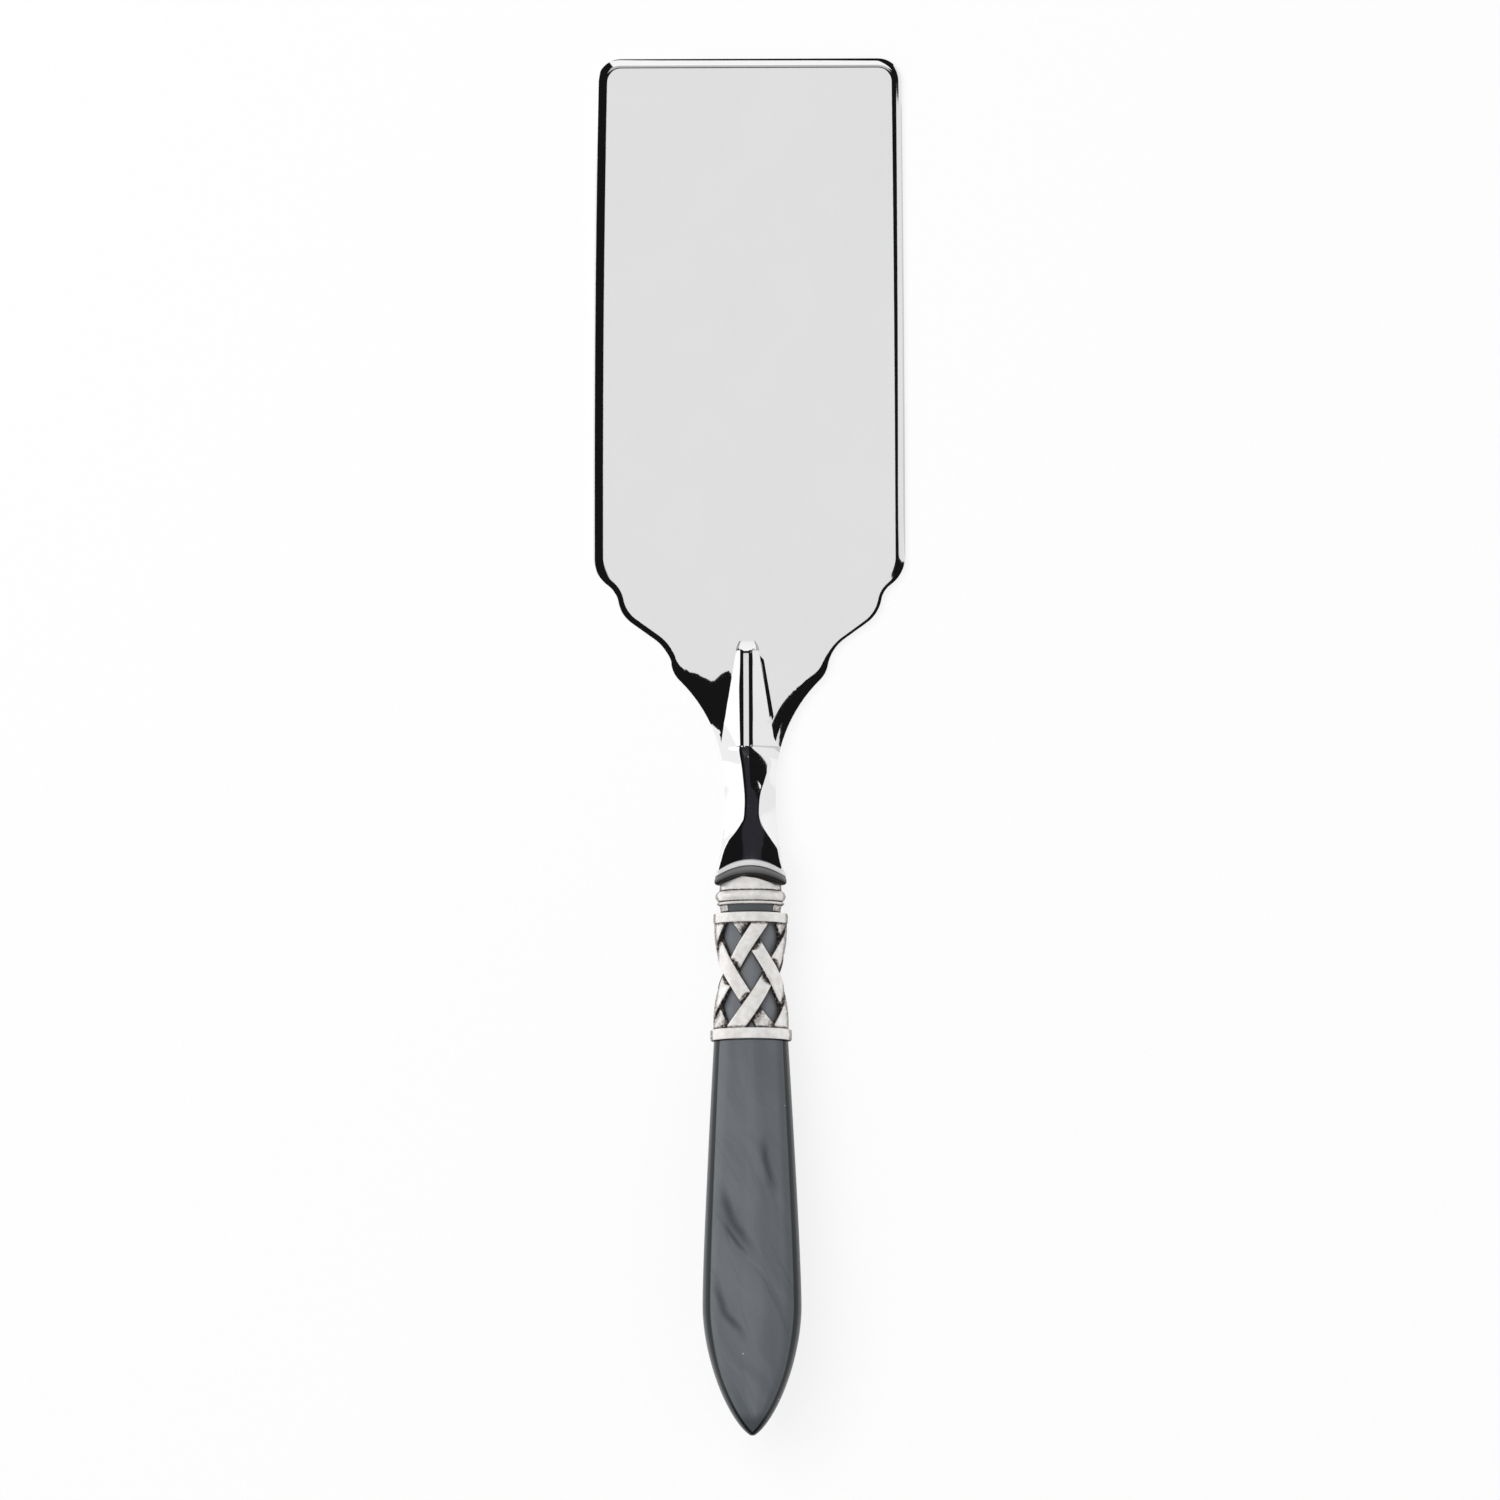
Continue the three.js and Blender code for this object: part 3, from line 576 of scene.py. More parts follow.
def curve(knots, place):
    """A soft curve through knots of places and values, both in millimetres."""
    spot = place / MM
    after = min(max(bisect.bisect_left(knots, (spot, 0)), 1), len(knots) - 1)
    (start, low), (end, high) = knots[after - 1], knots[after]
    leans = []
    for number in (after - 1, after):
        before, behind = knots[max(number - 1, 0)], knots[min(number + 1, len(knots) - 1)]
        leans.append((behind[1] - before[1]) / (behind[0] - before[0]) * (end - start))
    share = min(max((spot - start) / (end - start), 0), 1)
    bend = leans[0] * share * (1 - share) ** 2 - leans[1] * share**2 * (1 - share)
    return MM * (mix(low, high, smooth(spot, start, end)) + bend)


def neck_ring(place, bulge=0):
    """The neck behind the blade: a shield at the break, a narrow stripe, and a tongue over the foot."""
    settled = min(place / waist_at, 1)
    flare = min(max((place - waist_at) / (FOOT_LENGTH - waist_at), 0), 1)
    half = shoulder_half(-place) if settled < 1 else mix(WAIST_HALF, FOOT_HALF, flare**FOOT_FLARE)
    half += bulge
    top = mix(NECK_TOP, FOOT_HALF * OVAL, min(place / FOOT_LENGTH, 1)) + bulge
    right = min(curve(CREASE_RIGHT, place), half - FOOT_EDGE)
    left = min(curve(CREASE_LEFT, place), half - FOOT_EDGE)
    middle, reach = (right - left) / 2, (right + left) / 2
    open_share = smooth(flare, FLARE_AT, 1) ** 2
    drop = reach * mix(SHANK_SLOPE, TONGUE_SLOPE, open_share) / 2
    tilt = SHIELD_SLOPE * (1 - smooth(place, SHIELD_FULL, SHIELD_END))
    ease = smooth(settled, 0, 1)
    eave = mix(eave_at(neck_front_half, 0).y, 0, ease)
    eave = mix(eave, top - drop - TONGUE_EDGE, open_share)
    bottom = -mix(NECK_CHIN, top, ease)
    past_foot = max((place - FOOT_LENGTH) / LIP_LENGTH, 0)
    arch = FOOT_ARCH * smooth(flare, FLARE_AT, 1) - LIP_FLATTER * past_foot
    left_eave, right_eave = Vector((-half, eave)), Vector((half, eave))

    def roof(x):
        return top - drop * (x / reach) ** 2 - tilt * max(x + middle - SHIELD_PIVOT, 0)

    return neck_section(place, middle, reach, roof, even_knots, left_eave, right_eave, bottom, arch)


# %% Skin the neck
BREAK_START = 0.1 * MM
BREAK_END = 3 * MM
BREAK_STEPS = 14
SHANK_START = 3.3 * MM
SHANK_STEPS = 66

sections += [neck_ring(place) for place in spread(BREAK_START, BREAK_END, BREAK_STEPS)]
sections += [neck_ring(place) for place in spread(SHANK_START, FOOT_LENGTH, SHANK_STEPS)]
satin_and_shade = [[0] * len(section) for section in sections]
for share, bulge, soil_and_shade in LIP_BANDS:
    sections.append(neck_ring(FOOT_LENGTH + LIP_LENGTH * share, LIP_BULGE * bulge))
    satin_and_shade.append([soil_and_shade] * len(sections[-1]))
neck = skin("neck_bar", sections, satin_and_shade)
onto_axis(neck, 50)

# %% [markdown]
# ## The ferrule's cap
#
# The cap is turned round and then pressed to an oval: a dome, a bead, a thin ring and a hollow. So its
# outline is drawn once on one side of the axis, Spin takes it all the way round, and Resize presses it flat.
# The soil says where dark polish has stayed: in the notches and as a panel in the hollow, while dirt and
# painted shade darken the flanks.

# %% A turned piece
TURN_STEPS = 96
FLANK_SOIL_AND_SHADE = 0.65
FLANK = (0.88, 0.96)


def flank_soil_and_shade(side):
    """Dirt and painted shade darken the flanks of the oval."""
    return FLANK_SOIL_AND_SHADE * smooth(side, *FLANK)


def turn(name, profile, soiled):
    """Draw a profile of half-widths and places, spin it round the axis and press it to an oval."""
    piece = start_line(name, profile[0][0], -profile[0][1])
    for half, place in profile[1:]:
        draw_to(piece, half, -place)
    choose_all()
    bpy.ops.mesh.spin(steps=TURN_STEPS, angle=2 * math.pi, center=(0, 0, 0), axis=(0, 1, 0))
    choose_all()
    bpy.ops.mesh.remove_doubles(threshold=TINY)
    bpy.ops.transform.resize(value=(1, 1, OVAL), center_override=(0, 0, 0))
    close_mesh()
    grime_and_shade = piece.data.attributes.new("soil_and_shade", "FLOAT", "POINT")
    for vertex, value in zip(piece.data.vertices, grime_and_shade.data):
        half = math.hypot(vertex.co.x, vertex.co.z / OVAL)
        side = abs(vertex.co.x) / max(half, TINY)
        value.value = max(soiled(half, side, -vertex.co.y), flank_soil_and_shade(side))
    return piece


# %% Turn the cap
DOME_UNDER_FOOT = 1.6 * MM
DOME_HALF = 6.6 * MM
DOME_HEIGHT = 5.4 * MM
DOME_RIM = 0.1 * MM
DOME_ROUNDNESS = 0.5
BEAD_HALF = 7.45 * MM
BEAD_LENGTH = 2.3 * MM
BEAD_NOTCH = 0.25 * MM
BEAD_ROUNDNESS = 0.7
FILLET_HALF = 7.15 * MM
FILLET_LENGTH = 0.8 * MM
FILLET_NOTCH = 0.2 * MM
GROOVE_HALF = 6.35 * MM
GROOVE_LENGTH = 1.4 * MM
GROOVE_NOTCH = 0.1 * MM
PLUG_HALF = 5.6 * MM
PLUG_REACH = 1.2 * MM
NOTCH_SOIL = 0.3 * MM
END_SOIL = 0.15 * MM
PANEL_SIDE = 0.75
PANEL_SOIL = 2
HOLLOW_SOIL = 0.55

bead_start = FOOT_LENGTH - DOME_UNDER_FOOT + DOME_HEIGHT
fillet_start = bead_start + BEAD_LENGTH
groove_start = fillet_start + FILLET_LENGTH
cap_end = groove_start + GROOVE_LENGTH
notches = (bead_start, fillet_start, groove_start)

profile = []
for angle in spread(math.pi / 2, 0, 18):
    half = DOME_HALF * math.cos(angle) ** DOME_ROUNDNESS
    profile.append((half, bead_start - DOME_RIM - DOME_HEIGHT * math.sin(angle)))
profile.append((DOME_HALF - BEAD_NOTCH, bead_start))
for share in spread(0.06, 0.94, 12):
    half = mix(DOME_HALF, BEAD_HALF, math.sin(math.pi * share) ** BEAD_ROUNDNESS)
    profile.append((half, bead_start + BEAD_LENGTH * share))
profile.append((DOME_HALF - FILLET_NOTCH, fillet_start))
for share in spread(0.12, 0.88, 6):
    half = mix(DOME_HALF, FILLET_HALF, math.sin(math.pi * share))
    profile.append((half, fillet_start + FILLET_LENGTH * share))
profile.append((DOME_HALF - GROOVE_NOTCH, groove_start))
for share in spread(0.08, 1, 8):
    half = mix(DOME_HALF, GROOVE_HALF, math.sin(math.pi / 2 * share))
    profile.append((half, groove_start + GROOVE_LENGTH * share))
profile.append((PLUG_HALF, cap_end))
profile.append((PLUG_HALF, cap_end + PLUG_REACH))
profile.append((0, cap_end + PLUG_REACH))


def cap_soil(half, side, place):
    """Dark lines in the notches and a dark panel on the middle of the hollow."""
    nearest = min(abs(place - notch) for notch in notches)
    groove = 0
    if groove_start < place < cap_end:
        groove = PANEL_SOIL if side < PANEL_SIDE else HOLLOW_SOIL
    end = 1 if place > cap_end - END_SOIL else 0
    return max(1 - nearest / NOTCH_SOIL, groove, end)


cap = turn("cap_turning", profile, cap_soil)
onto_axis(cap, 30)

# %% [markdown]
# ## The woven sleeve
#
# The sleeve is one casting that looks woven: four strips lean each way and pass over and under each other
# between two rings. A strip is one section skinned along a spiral on the oval, lifted and lowered where it
# crosses. An oval looks the same after half a turn, so two strips of each way are modelled, and a copy of
# each is turned by 180 degrees.

# %% Places on the oval
SLEEVE_GAP = 0.3 * MM
TOP_RING_HALF = 7.9 * MM
TOP_RING_LENGTH = 2.1 * MM
BOTTOM_RING_HALF = 8.65 * MM
BOTTOM_RING_LENGTH = 2.3 * MM
LATTICE_LENGTH = 22.65 * MM
LATTICE_TOP_HALF = 7.65 * MM
LATTICE_WAIST_HALF = 7 * MM
LATTICE_END_HALF = 8.25 * MM
LATTICE_WAIST_AT = 0.45
LATTICE_DEPTH = 1.18 * MM
OVAL_STEPS = 720

sleeve_start = cap_end + SLEEVE_GAP
lattice_start = sleeve_start + TOP_RING_LENGTH
lattice_end = lattice_start + LATTICE_LENGTH
lattice_waist = lattice_start + LATTICE_LENGTH * LATTICE_WAIST_AT
sleeve_end = lattice_end + BOTTOM_RING_LENGTH
girth = LATTICE_WAIST_HALF * math.pi * (1 + OVAL)

lengths = [0]
for angle in spread(math.pi / OVAL_STEPS, 2 * math.pi - math.pi / OVAL_STEPS, OVAL_STEPS - 1):
    lengths.append(lengths[-1] + math.hypot(math.cos(angle), OVAL * math.sin(angle)))


def angle_at(share):
    """Angle on the oval at a share of its length, counted from the top towards +X."""
    turns = math.floor(share)
    wanted = (share - turns) * lengths[-1]
    after = max(1, bisect.bisect_left(lengths, wanted))
    part = (wanted - lengths[after - 1]) / (lengths[after] - lengths[after - 1])
    return (turns + (after - 1 + part) / OVAL_STEPS) * 2 * math.pi


def lattice_half(place):
    """Half-width of the lattice's outer face, which draws in to a waist."""
    end, end_half = lattice_end, LATTICE_END_HALF
    if place < lattice_waist:
        end, end_half = lattice_start, LATTICE_TOP_HALF
    return mix(LATTICE_WAIST_HALF, end_half, ((place - lattice_waist) / (end - lattice_waist)) ** 2)


def on_lattice(share, place, height):
    """The spot at a share of the way round, a place on the axis and a height over the face."""
    angle = angle_at(share)
    half = lattice_half(place)
    out = Vector((OVAL * math.sin(angle), math.cos(angle))).normalized() * height
    return Vector((half * math.sin(angle) + out.x, -place, half * OVAL * math.cos(angle) + out.y))


# %% The way of a strip
STRIP_HALF = 1.575 * MM
STRIP_THICKNESS = 0.9 * MM
WEAVE_RELIEF = 0.28 * MM
STRIPS_PER_WAY = 4
ROWS = 3
ROW_SPACING = 7.3 * MM
FIRST_ROW_AT = 3.25 * MM
STRIP_CROWN = 0.03 * MM
# Half a strip's section from its edge inwards: share of its half width, and height over its face in mm
STRIP_EDGE = [(1, -0.45), (0.93, -0.22), (0.84, -0.06), (0.72, 0), (0.5, 0.02), (0.25, 0.03)]
STRIP_BACK = 0.4
FLANK_WIDER = 0.2
BOTTOM_WIDER = 0.1

strip_edge = [(1, -STRIP_THICKNESS), *((across, height * MM) for across, height in STRIP_EDGE)]
strip_profile = [(-across, height) for across, height in strip_edge]
strip_profile += [(0, STRIP_CROWN), *reversed(strip_edge)]
strip_profile += [(STRIP_BACK, -STRIP_THICKNESS), (-STRIP_BACK, -STRIP_THICKNESS)]
lean = 1 / (2 * STRIPS_PER_WAY)
slope = math.atan2(ROW_SPACING, lean * girth)
share_half = STRIP_HALF / math.sin(slope) / girth
first_row = lattice_start + FIRST_ROW_AT


def strip_middle(number, way, place):
    """Where a strip's middle lies, as a share of the way round."""
    return number / STRIPS_PER_WAY - way * (place - first_row) / ROW_SPACING * lean


def weave(way, place):
    """How far over or under its neighbours a strip passes, from 1 to -1."""
    rows = (place - first_row) / ROW_SPACING
    return way * math.cos(math.pi * rows) if -0.5 < rows < ROWS - 0.5 else 0


def strip_width(share, place):
    """Half a strip's width, as a share of the way round."""
    flank = FLANK_WIDER * abs(math.sin(2 * math.pi * share)) ** 3
    bottom = BOTTOM_WIDER * smooth(place, lattice_waist, lattice_end)
    return share_half * (1 + flank) * (1 + bottom)


# %% Soil and painted shade on the strips
STRIP_SIDE_DEPTH = 0.15 * MM
STRIP_SIDE_SHADE = 0.9
RING_STAIN_AND_SHADE = 0.85
RING_STAIN_AND_SHADE_FADES = (0.05 * MM, 1.1 * MM)
ROWS_BEYOND = 0.3
GOES_UNDER = (0.1, 0.5)
CROSSING_FADES = (1.02, 2.4)
END_STAIN_AND_SHADE = 0.62
END_STAIN_AND_SHADE_STARTS = (0.5 * MM, 2 * MM)
END_STAIN_AND_SHADE_FADES = (1.7, 3.2)


def strip_soil_and_shade(way, share, place, depth):
    """Dark on a strip: painted shade on its sides, and dirt with painted shade at the rings, on the flanks
    and where it goes under.
    """
    # Painted shade on the strip's side walls.
    if depth < -STRIP_SIDE_DEPTH:
        return STRIP_SIDE_SHADE
    to_ring = min(place - lattice_start, lattice_end - place)
    # Dirt and painted shade next to the rings.
    soil_and_shade = RING_STAIN_AND_SHADE * (1 - smooth(to_ring, *RING_STAIN_AND_SHADE_FADES))
    apart = (share - strip_middle(0, -way, place)) * STRIPS_PER_WAY
    beside = abs(apart - round(apart)) / STRIPS_PER_WAY / share_half
    rows = min(max((place - first_row) / ROW_SPACING, -ROWS_BEYOND), ROWS - 1 + ROWS_BEYOND)
    # Dirt and painted shade where the strip goes under another, and beyond the last rows.
    under = smooth(-way * math.cos(math.pi * rows), *GOES_UNDER)
    past = max(first_row - place, place - first_row - (ROWS - 1) * ROW_SPACING)
    stain_and_shade = END_STAIN_AND_SHADE * smooth(past, *END_STAIN_AND_SHADE_STARTS) * (1 - smooth(beside, *END_STAIN_AND_SHADE_FADES))
    soil_and_shade = max(soil_and_shade, flank_soil_and_shade(abs(math.sin(angle_at(share)))))
    return max(soil_and_shade, under * max(stain_and_shade, 1 - smooth(beside, *CROSSING_FADES)))


# %% Weave the strips
STRIP_STATIONS = 72
STRIP_INTO_RING = 0.3 * MM


def strip(number, way):
    """Skin one strip from ring to ring."""
    sections, soils_and_shades = [], []
    for place in spread(lattice_start - STRIP_INTO_RING, lattice_end + STRIP_INTO_RING, STRIP_STATIONS):
        middle = strip_middle(number, way, place)
        face = WEAVE_RELIEF * weave(way, place)
        shares = [middle + across * strip_width(middle, place) for across, _ in strip_profile]
        depths = [depth for _, depth in strip_profile]
        sections.append([on_lattice(s, place, face + d) for s, d in zip(shares, depths)])
        soils_and_shades.append([strip_soil_and_shade(way, s, place, d) for s, d in zip(shares, depths)])
    return skin(f"strip_{number}_{way}", sections, soils_and_shades)


strips = []
for way in (1, -1):
    for number in (0, 1):
        first = strip(number, way)
        bpy.ops.object.duplicate()
        second = bpy.context.object
        bpy.ops.object.mode_set(mode="EDIT")
        choose_all()
        bpy.ops.transform.rotate(value=math.pi, orient_axis="Y", center_override=(0, 0, 0))
        bpy.ops.object.mode_set(mode="OBJECT")
        strips += [first, second]

# %% Add the rings and join the sleeve
RING_EDGE = 0.3 * MM
RING_SOIL = 0.25 * MM


def ring(name, start, end, half, bore):
    """Turn a ring with rounded edges; dark polish stays on its end faces and in its bore."""
    edge = RING_EDGE
    profile = [(bore, start), (half - edge, start)]
    for angle in spread(0, math.pi / 2, 4)[1:]:
        profile.append((half - edge + edge * math.sin(angle), start + edge - edge * math.cos(angle)))
    for angle in spread(math.pi / 2, 0, 4):
        profile.append((half - edge + edge * math.sin(angle), end - edge + edge * math.cos(angle)))
    profile += [(bore, end), (bore, start)]

    def soiled(half_width, side, place):
        return 1 if half_width < half - RING_SOIL else 0

    return turn(name, profile, soiled)


top_bore = LATTICE_TOP_HALF - LATTICE_DEPTH
bottom_bore = LATTICE_END_HALF - LATTICE_DEPTH
top_ring = ring("top_ring", sleeve_start, lattice_start, TOP_RING_HALF, top_bore)
bottom_ring = ring("bottom_ring", lattice_end, sleeve_end, BOTTOM_RING_HALF, bottom_bore)
bpy.ops.object.select_all(action="DESELECT")
for part in (*strips, bottom_ring, top_ring):
    part.select_set(True)
bpy.context.view_layer.objects.active = top_ring
bpy.ops.object.join()
sleeve = bpy.context.object
sleeve.name = "woven_sleeve"
sleeve.data.name = "woven_sleeve"
onto_axis(sleeve, 40)

# %% [markdown]
# ## The handle
#
# The handle is polished resin. Its spigot fills the sleeve and shows through the windows; the grip swells
# towards the hand and ends in a pointed oval. Its sections go from an oval to a squared-off one, a
# superellipse, which keeps the top flatter. Each vertex notes how near it lies to the outline, so that the
# finish can paint shade and reflection along the edges; the spigot is marked with -1, and the finish paints
# it lighter against the sleeve's shade.

# %% Skin the handle
HANDLE_GAP = 0.3 * MM
HANDLE_LENGTH = 83.85 * MM
HANDLE_START_HALF = 7.9 * MM
HANDLE_HALF = 10.5 * MM
HANDLE_RISE_HALF = 5.56 * MM
SWELL_AT = 56.5 * MM
SWELL_EARLY = 0.81
SQUARENESS = 2.6
HANDLE_ROUND = 72
SPIGOT_STEPS = 24
SPIGOT_MARK = -1
GRIP_STEPS = 24
TIP_STEPS = 36
TIP_END = math.radians(84.2)
TIP_EDGE = 8 * MM
# Inner and outer power of the curve that closes the tip, seen from above and from the side
TIP_PLAN = (1.75, 0.7)
TIP_SIDE = (2.6, 0.65)

spigot_inset = LATTICE_DEPTH + HANDLE_GAP
swell_control = SWELL_EARLY * SWELL_AT
handle_start = sleeve_end + HANDLE_GAP
spigot_start = cap_end + PLUG_REACH + HANDLE_GAP


def handle_section(place, half, rise, squareness):
    """One section of the handle, a true oval for a squareness of 2."""
    points = []
    for step in range(HANDLE_ROUND):
        angle = 2 * math.pi * step / HANDLE_ROUND
        across = math.copysign(abs(math.cos(angle)) ** (2 / squareness), math.cos(angle))
        up = math.copysign(abs(math.sin(angle)) ** (2 / squareness), math.sin(angle))
        points.append(Vector((half * across, -place, rise * up)))
    return points


def edge_share(section):
    """How near each vertex lies to the handle's outline, from 0 in the middle to 1."""
    half = max(point.x for point in section)
    return [1 - (half - abs(point.x)) / max(half, TIP_EDGE) for point in section]


spigot = []
for place in spread(spigot_start, handle_start, SPIGOT_STEPS):
    around = lattice_half(min(max(place, lattice_start), lattice_end))
    spigot.append(handle_section(place, around - spigot_inset, around * OVAL - spigot_inset, 2))
grip = []
for share in spread(0, 1, GRIP_STEPS):
    to_control = mix(0, swell_control, share)
    from_control = mix(swell_control, SWELL_AT, share)
    place = handle_start + mix(to_control, from_control, share)
    half = mix(mix(HANDLE_START_HALF, HANDLE_HALF, share), HANDLE_HALF, share)
    rise = mix(HANDLE_START_HALF * OVAL, HANDLE_RISE_HALF, share)
    grip.append(handle_section(place, half, rise, mix(2, SQUARENESS, share)))
for angle in spread(0, TIP_END, TIP_STEPS)[1:]:
    share = math.sin(angle)
    place = handle_start + mix(SWELL_AT, HANDLE_LENGTH, share)
    half = HANDLE_HALF * (1 - share ** TIP_PLAN[0]) ** TIP_PLAN[1]
    rise = HANDLE_RISE_HALF * (1 - share ** TIP_SIDE[0]) ** TIP_SIDE[1]
    grip.append(handle_section(place, half, rise, SQUARENESS))
edge_shares = [[SPIGOT_MARK] * HANDLE_ROUND for _ in spigot]
edge_shares += [edge_share(section) for section in grip]
handle = skin("handle_resin", spigot + grip, edge_shares)
onto_axis(handle, 40)

# %% [markdown]
# ## Shader sums written as Python
#
# A finish is a sum of patterns. Writing each pattern as a node, wired by hand, hides that sum. So one small
# class wraps a socket and lets Python's own signs make the Math nodes, and one method makes any other node.

# %% Sockets that can be added and multiplied


class Socket:
    """An output socket that takes part in sums."""

    def __init__(self, sheet, link):
        self.sheet = sheet
        self.link = link

    def sum(self, operation, first, second=0.0):
        return self.sheet.node("Math", {0: first, 1: second}, operation=operation)[0]

    def __add__(self, other):
        return self.sum("ADD", self, other)

    def __sub__(self, other):
        return self.sum("SUBTRACT", self, other)

    def __rsub__(self, other):
        return self.sum("SUBTRACT", other, self)

    def __mul__(self, other):
        return self.sum("MULTIPLY", self, other)

    def __truediv__(self, other):
        return self.sum("DIVIDE", self, other)

    __radd__ = __add__
    __rmul__ = __mul__

    def over(self, other):
        return self.sum("MAXIMUM", self, other)

    def step(self, low, high):
        """A soft step from 0 to 1 between two values."""
        sockets = {"Value": self, 1: low, 2: high}
        return self.sheet.node("MapRange", sockets, interpolation_type="SMOOTHSTEP")[0]


class Sheet:
    """The nodes of one material or world."""

    def __init__(self, owner):
        owner.use_nodes = True
        self.tree = owner.node_tree
        self.tree.nodes.clear()

    def node(self, kind, sockets=None, **settings):
        """Make a node, set it up first, then give its sockets values or links."""
        made = self.tree.nodes.new("ShaderNode" + kind)
        for name, value in settings.items():
            setattr(made, name, value)
        for name, value in (sockets or {}).items():
            if isinstance(value, Socket):
                self.tree.links.new(value.link, made.inputs[name])
            else:
                made.inputs[name].default_value = value
        return [Socket(self, output) for output in made.outputs]

    def soil_and_shade(self):
        """The number that each vertex took along."""
        return self.node("Attribute", attribute_name="soil_and_shade")[2]

    def bump(self, height, strength, distance):
        sockets = {"Strength": strength, "Distance": distance, "Height": height}
        return self.node("Bump", sockets)[0]

    def vector(self, x, y, z):
        return self.node("CombineXYZ", {0: x, 1: y, 2: z})[0]

    def noise(self, place, scale, detail=2.0, distortion=0.0):
        sockets = {"Vector": place, "Scale": scale, "Detail": detail, "Distortion": distortion}
        return self.node("TexNoise", sockets)[0]

    def blend(self, factor, first, second):
        """A colour between two others."""
        return self.node("Mix", {0: factor, 6: first, 7: second}, data_type="RGBA")[2]

    def finish(self, sockets):
        """Make the Principled BSDF and the output."""
        surface = self.node("BsdfPrincipled", sockets)[0]
        self.node("OutputMaterial", {"Surface": surface})


def material(name):
    """A new material's sheet, and its object coordinates in millimetres."""
    made = bpy.data.materials.new(name)
    sheet = Sheet(made)
    coordinates = sheet.node("TexCoord")[3]
    x, y, z = sheet.node("SeparateXYZ", {0: coordinates})
    return made, sheet, (x * 1000, y * 1000, z * 1000)


# %% [markdown]
# ## Finishes
#
# Blade and neck are mirror-polished: their look is what they reflect, broken only by hairlines along the
# grain and faint smears, and the neck's lip is satin, with painted shade on its darker bands. The ferrule is
# silver-coloured with dark polish left in its hollows, dirt and painted shade on its flanks, at the rings
# and where strips go under, and painted shade on the strips' sides, so its colour follows the soil and shade
# on the mesh. The resin has pearl swirls that run along the handle at a slant, four dark veins and a few
# bright specks; its edges get a painted dark line, a painted grey reflection and a darker painted band on
# the right, and its spigot is painted lighter against the sleeve's shade.

# %% Polished steel
steel, sheet, (x, y, z) = material("polished_steel_look")
soil_and_shade = sheet.soil_and_shade()
hairlines = sheet.noise(sheet.vector(x * 9, y * 0.25, z * 9), 1.0, 3.0)
smears = sheet.noise(sheet.vector(x, y, z), 0.06, 3.0, 0.6)
bare = sheet.blend(smears, (0.9, 0.9, 0.905, 1), (0.95, 0.95, 0.95, 1))
satin = soil_and_shade.step(0.0, 0.1)
sheet.finish({
    # Painted shade: the lip's dark lines and darker bands go towards black.
    "Base Color": sheet.blend(soil_and_shade.step(0.1, 1.0), bare, (0.02, 0.019, 0.019, 1)),
    "Metallic": 1 - 0.6 * satin,
    "Roughness": 0.02 + 0.03 * smears + 0.03 * hairlines + 0.3 * satin,
    "Normal": sheet.bump(hairlines, 0.012, 0.02 * MM),
})

# %% Aged silver
silver, sheet, (x, y, z) = material("aged_silver_look")
soil_and_shade = sheet.soil_and_shade()
place = sheet.vector(x, y, z)
blotches = sheet.noise(place, 0.8, 5.0)
patches = sheet.noise(place, 2.2, 4.0)
grit = sheet.noise(place, 7.0, 3.0)
# Dark polish in the hollows and dirt, with painted shade on strip sides, flanks and crossings.
stain_and_shade = soil_and_shade * 1.15 + (patches - 0.5) * 1.5 * soil_and_shade.over(0.1)
dark = (stain_and_shade + (grit - 0.64).over(0) * 1.1).step(0.3, 1.0)
bright = sheet.blend(blotches.step(0.3, 0.7), (0.84, 0.805, 0.775, 1), (0.95, 0.945, 0.93, 1))
grime_and_shade = sheet.blend(stain_and_shade.step(0.55, 1.15), (0.2, 0.16, 0.14, 1), (0.014, 0.012, 0.012, 1))
grime_and_shade = sheet.blend(soil_and_shade.step(1.3, 1.8), grime_and_shade, (0.1, 0.115, 0.12, 1))
sheet.finish({
    "Base Color": sheet.blend(dark, bright, grime_and_shade),
    "Metallic": 0.3,
    "Roughness": 0.3 + 0.12 * blotches + 0.15 * dark,
    "Normal": sheet.bump(grit - dark * 0.4, 0.3, 0.1 * MM),
})

# %% Pearl resin
# Start and end of each dark vein, and its width, in mm
VEINS = [
    ((1.7, -83), (4.8, -95), 0.9),
    ((-7.2, -93), (-0.4, -108), 1.1),
    ((-6.3, -100), (-1.8, -108.5), 0.6),
    ((-8.8, -113), (-2, -126.5), 0.9),
]
resin, sheet, (x, y, z) = material("pearl_resin_look")
edge = sheet.soil_and_shade()
place = sheet.vector(x, y, z)
wander = sheet.noise(place, 0.09)
ripple = sheet.noise(place, 0.5)
across = x * 0.91 + y * 0.41
along = x * 0.41 - y * 0.91
clouds = sheet.noise(sheet.vector(across * 0.2 + wander * 1.5, along * 0.035, z * 0.1), 1.0, 4.0, 0.4)
fine = sheet.noise(sheet.vector(across * 0.8 + wander * 2, along * 0.05, z * 0.1), 1.0, 3.0)
veins = 0.0
for (x0, y0), (x1, y1), width in VEINS:
    length = math.hypot(x1 - x0, y1 - y0)
    run = ((x - x0) * ((x1 - x0) / length) + (y - y0) * ((y1 - y0) / length)) / length
    aside = (x - x0) * ((y1 - y0) / length) - (y - y0) * ((x1 - x0) / length)
    aside = aside + (wander - 0.5) * 3 + (ripple - 0.5) * 0.3 + (run - 0.5) * (run - 0.5) * 3
    core = 1 - aside.sum("ABSOLUTE", aside).step(0.0, width * 1.6)
    vein = core * run.step(-0.1, 0.35) * (1 - run.step(0.6, 1.1))
    veins = vein.over(veins)
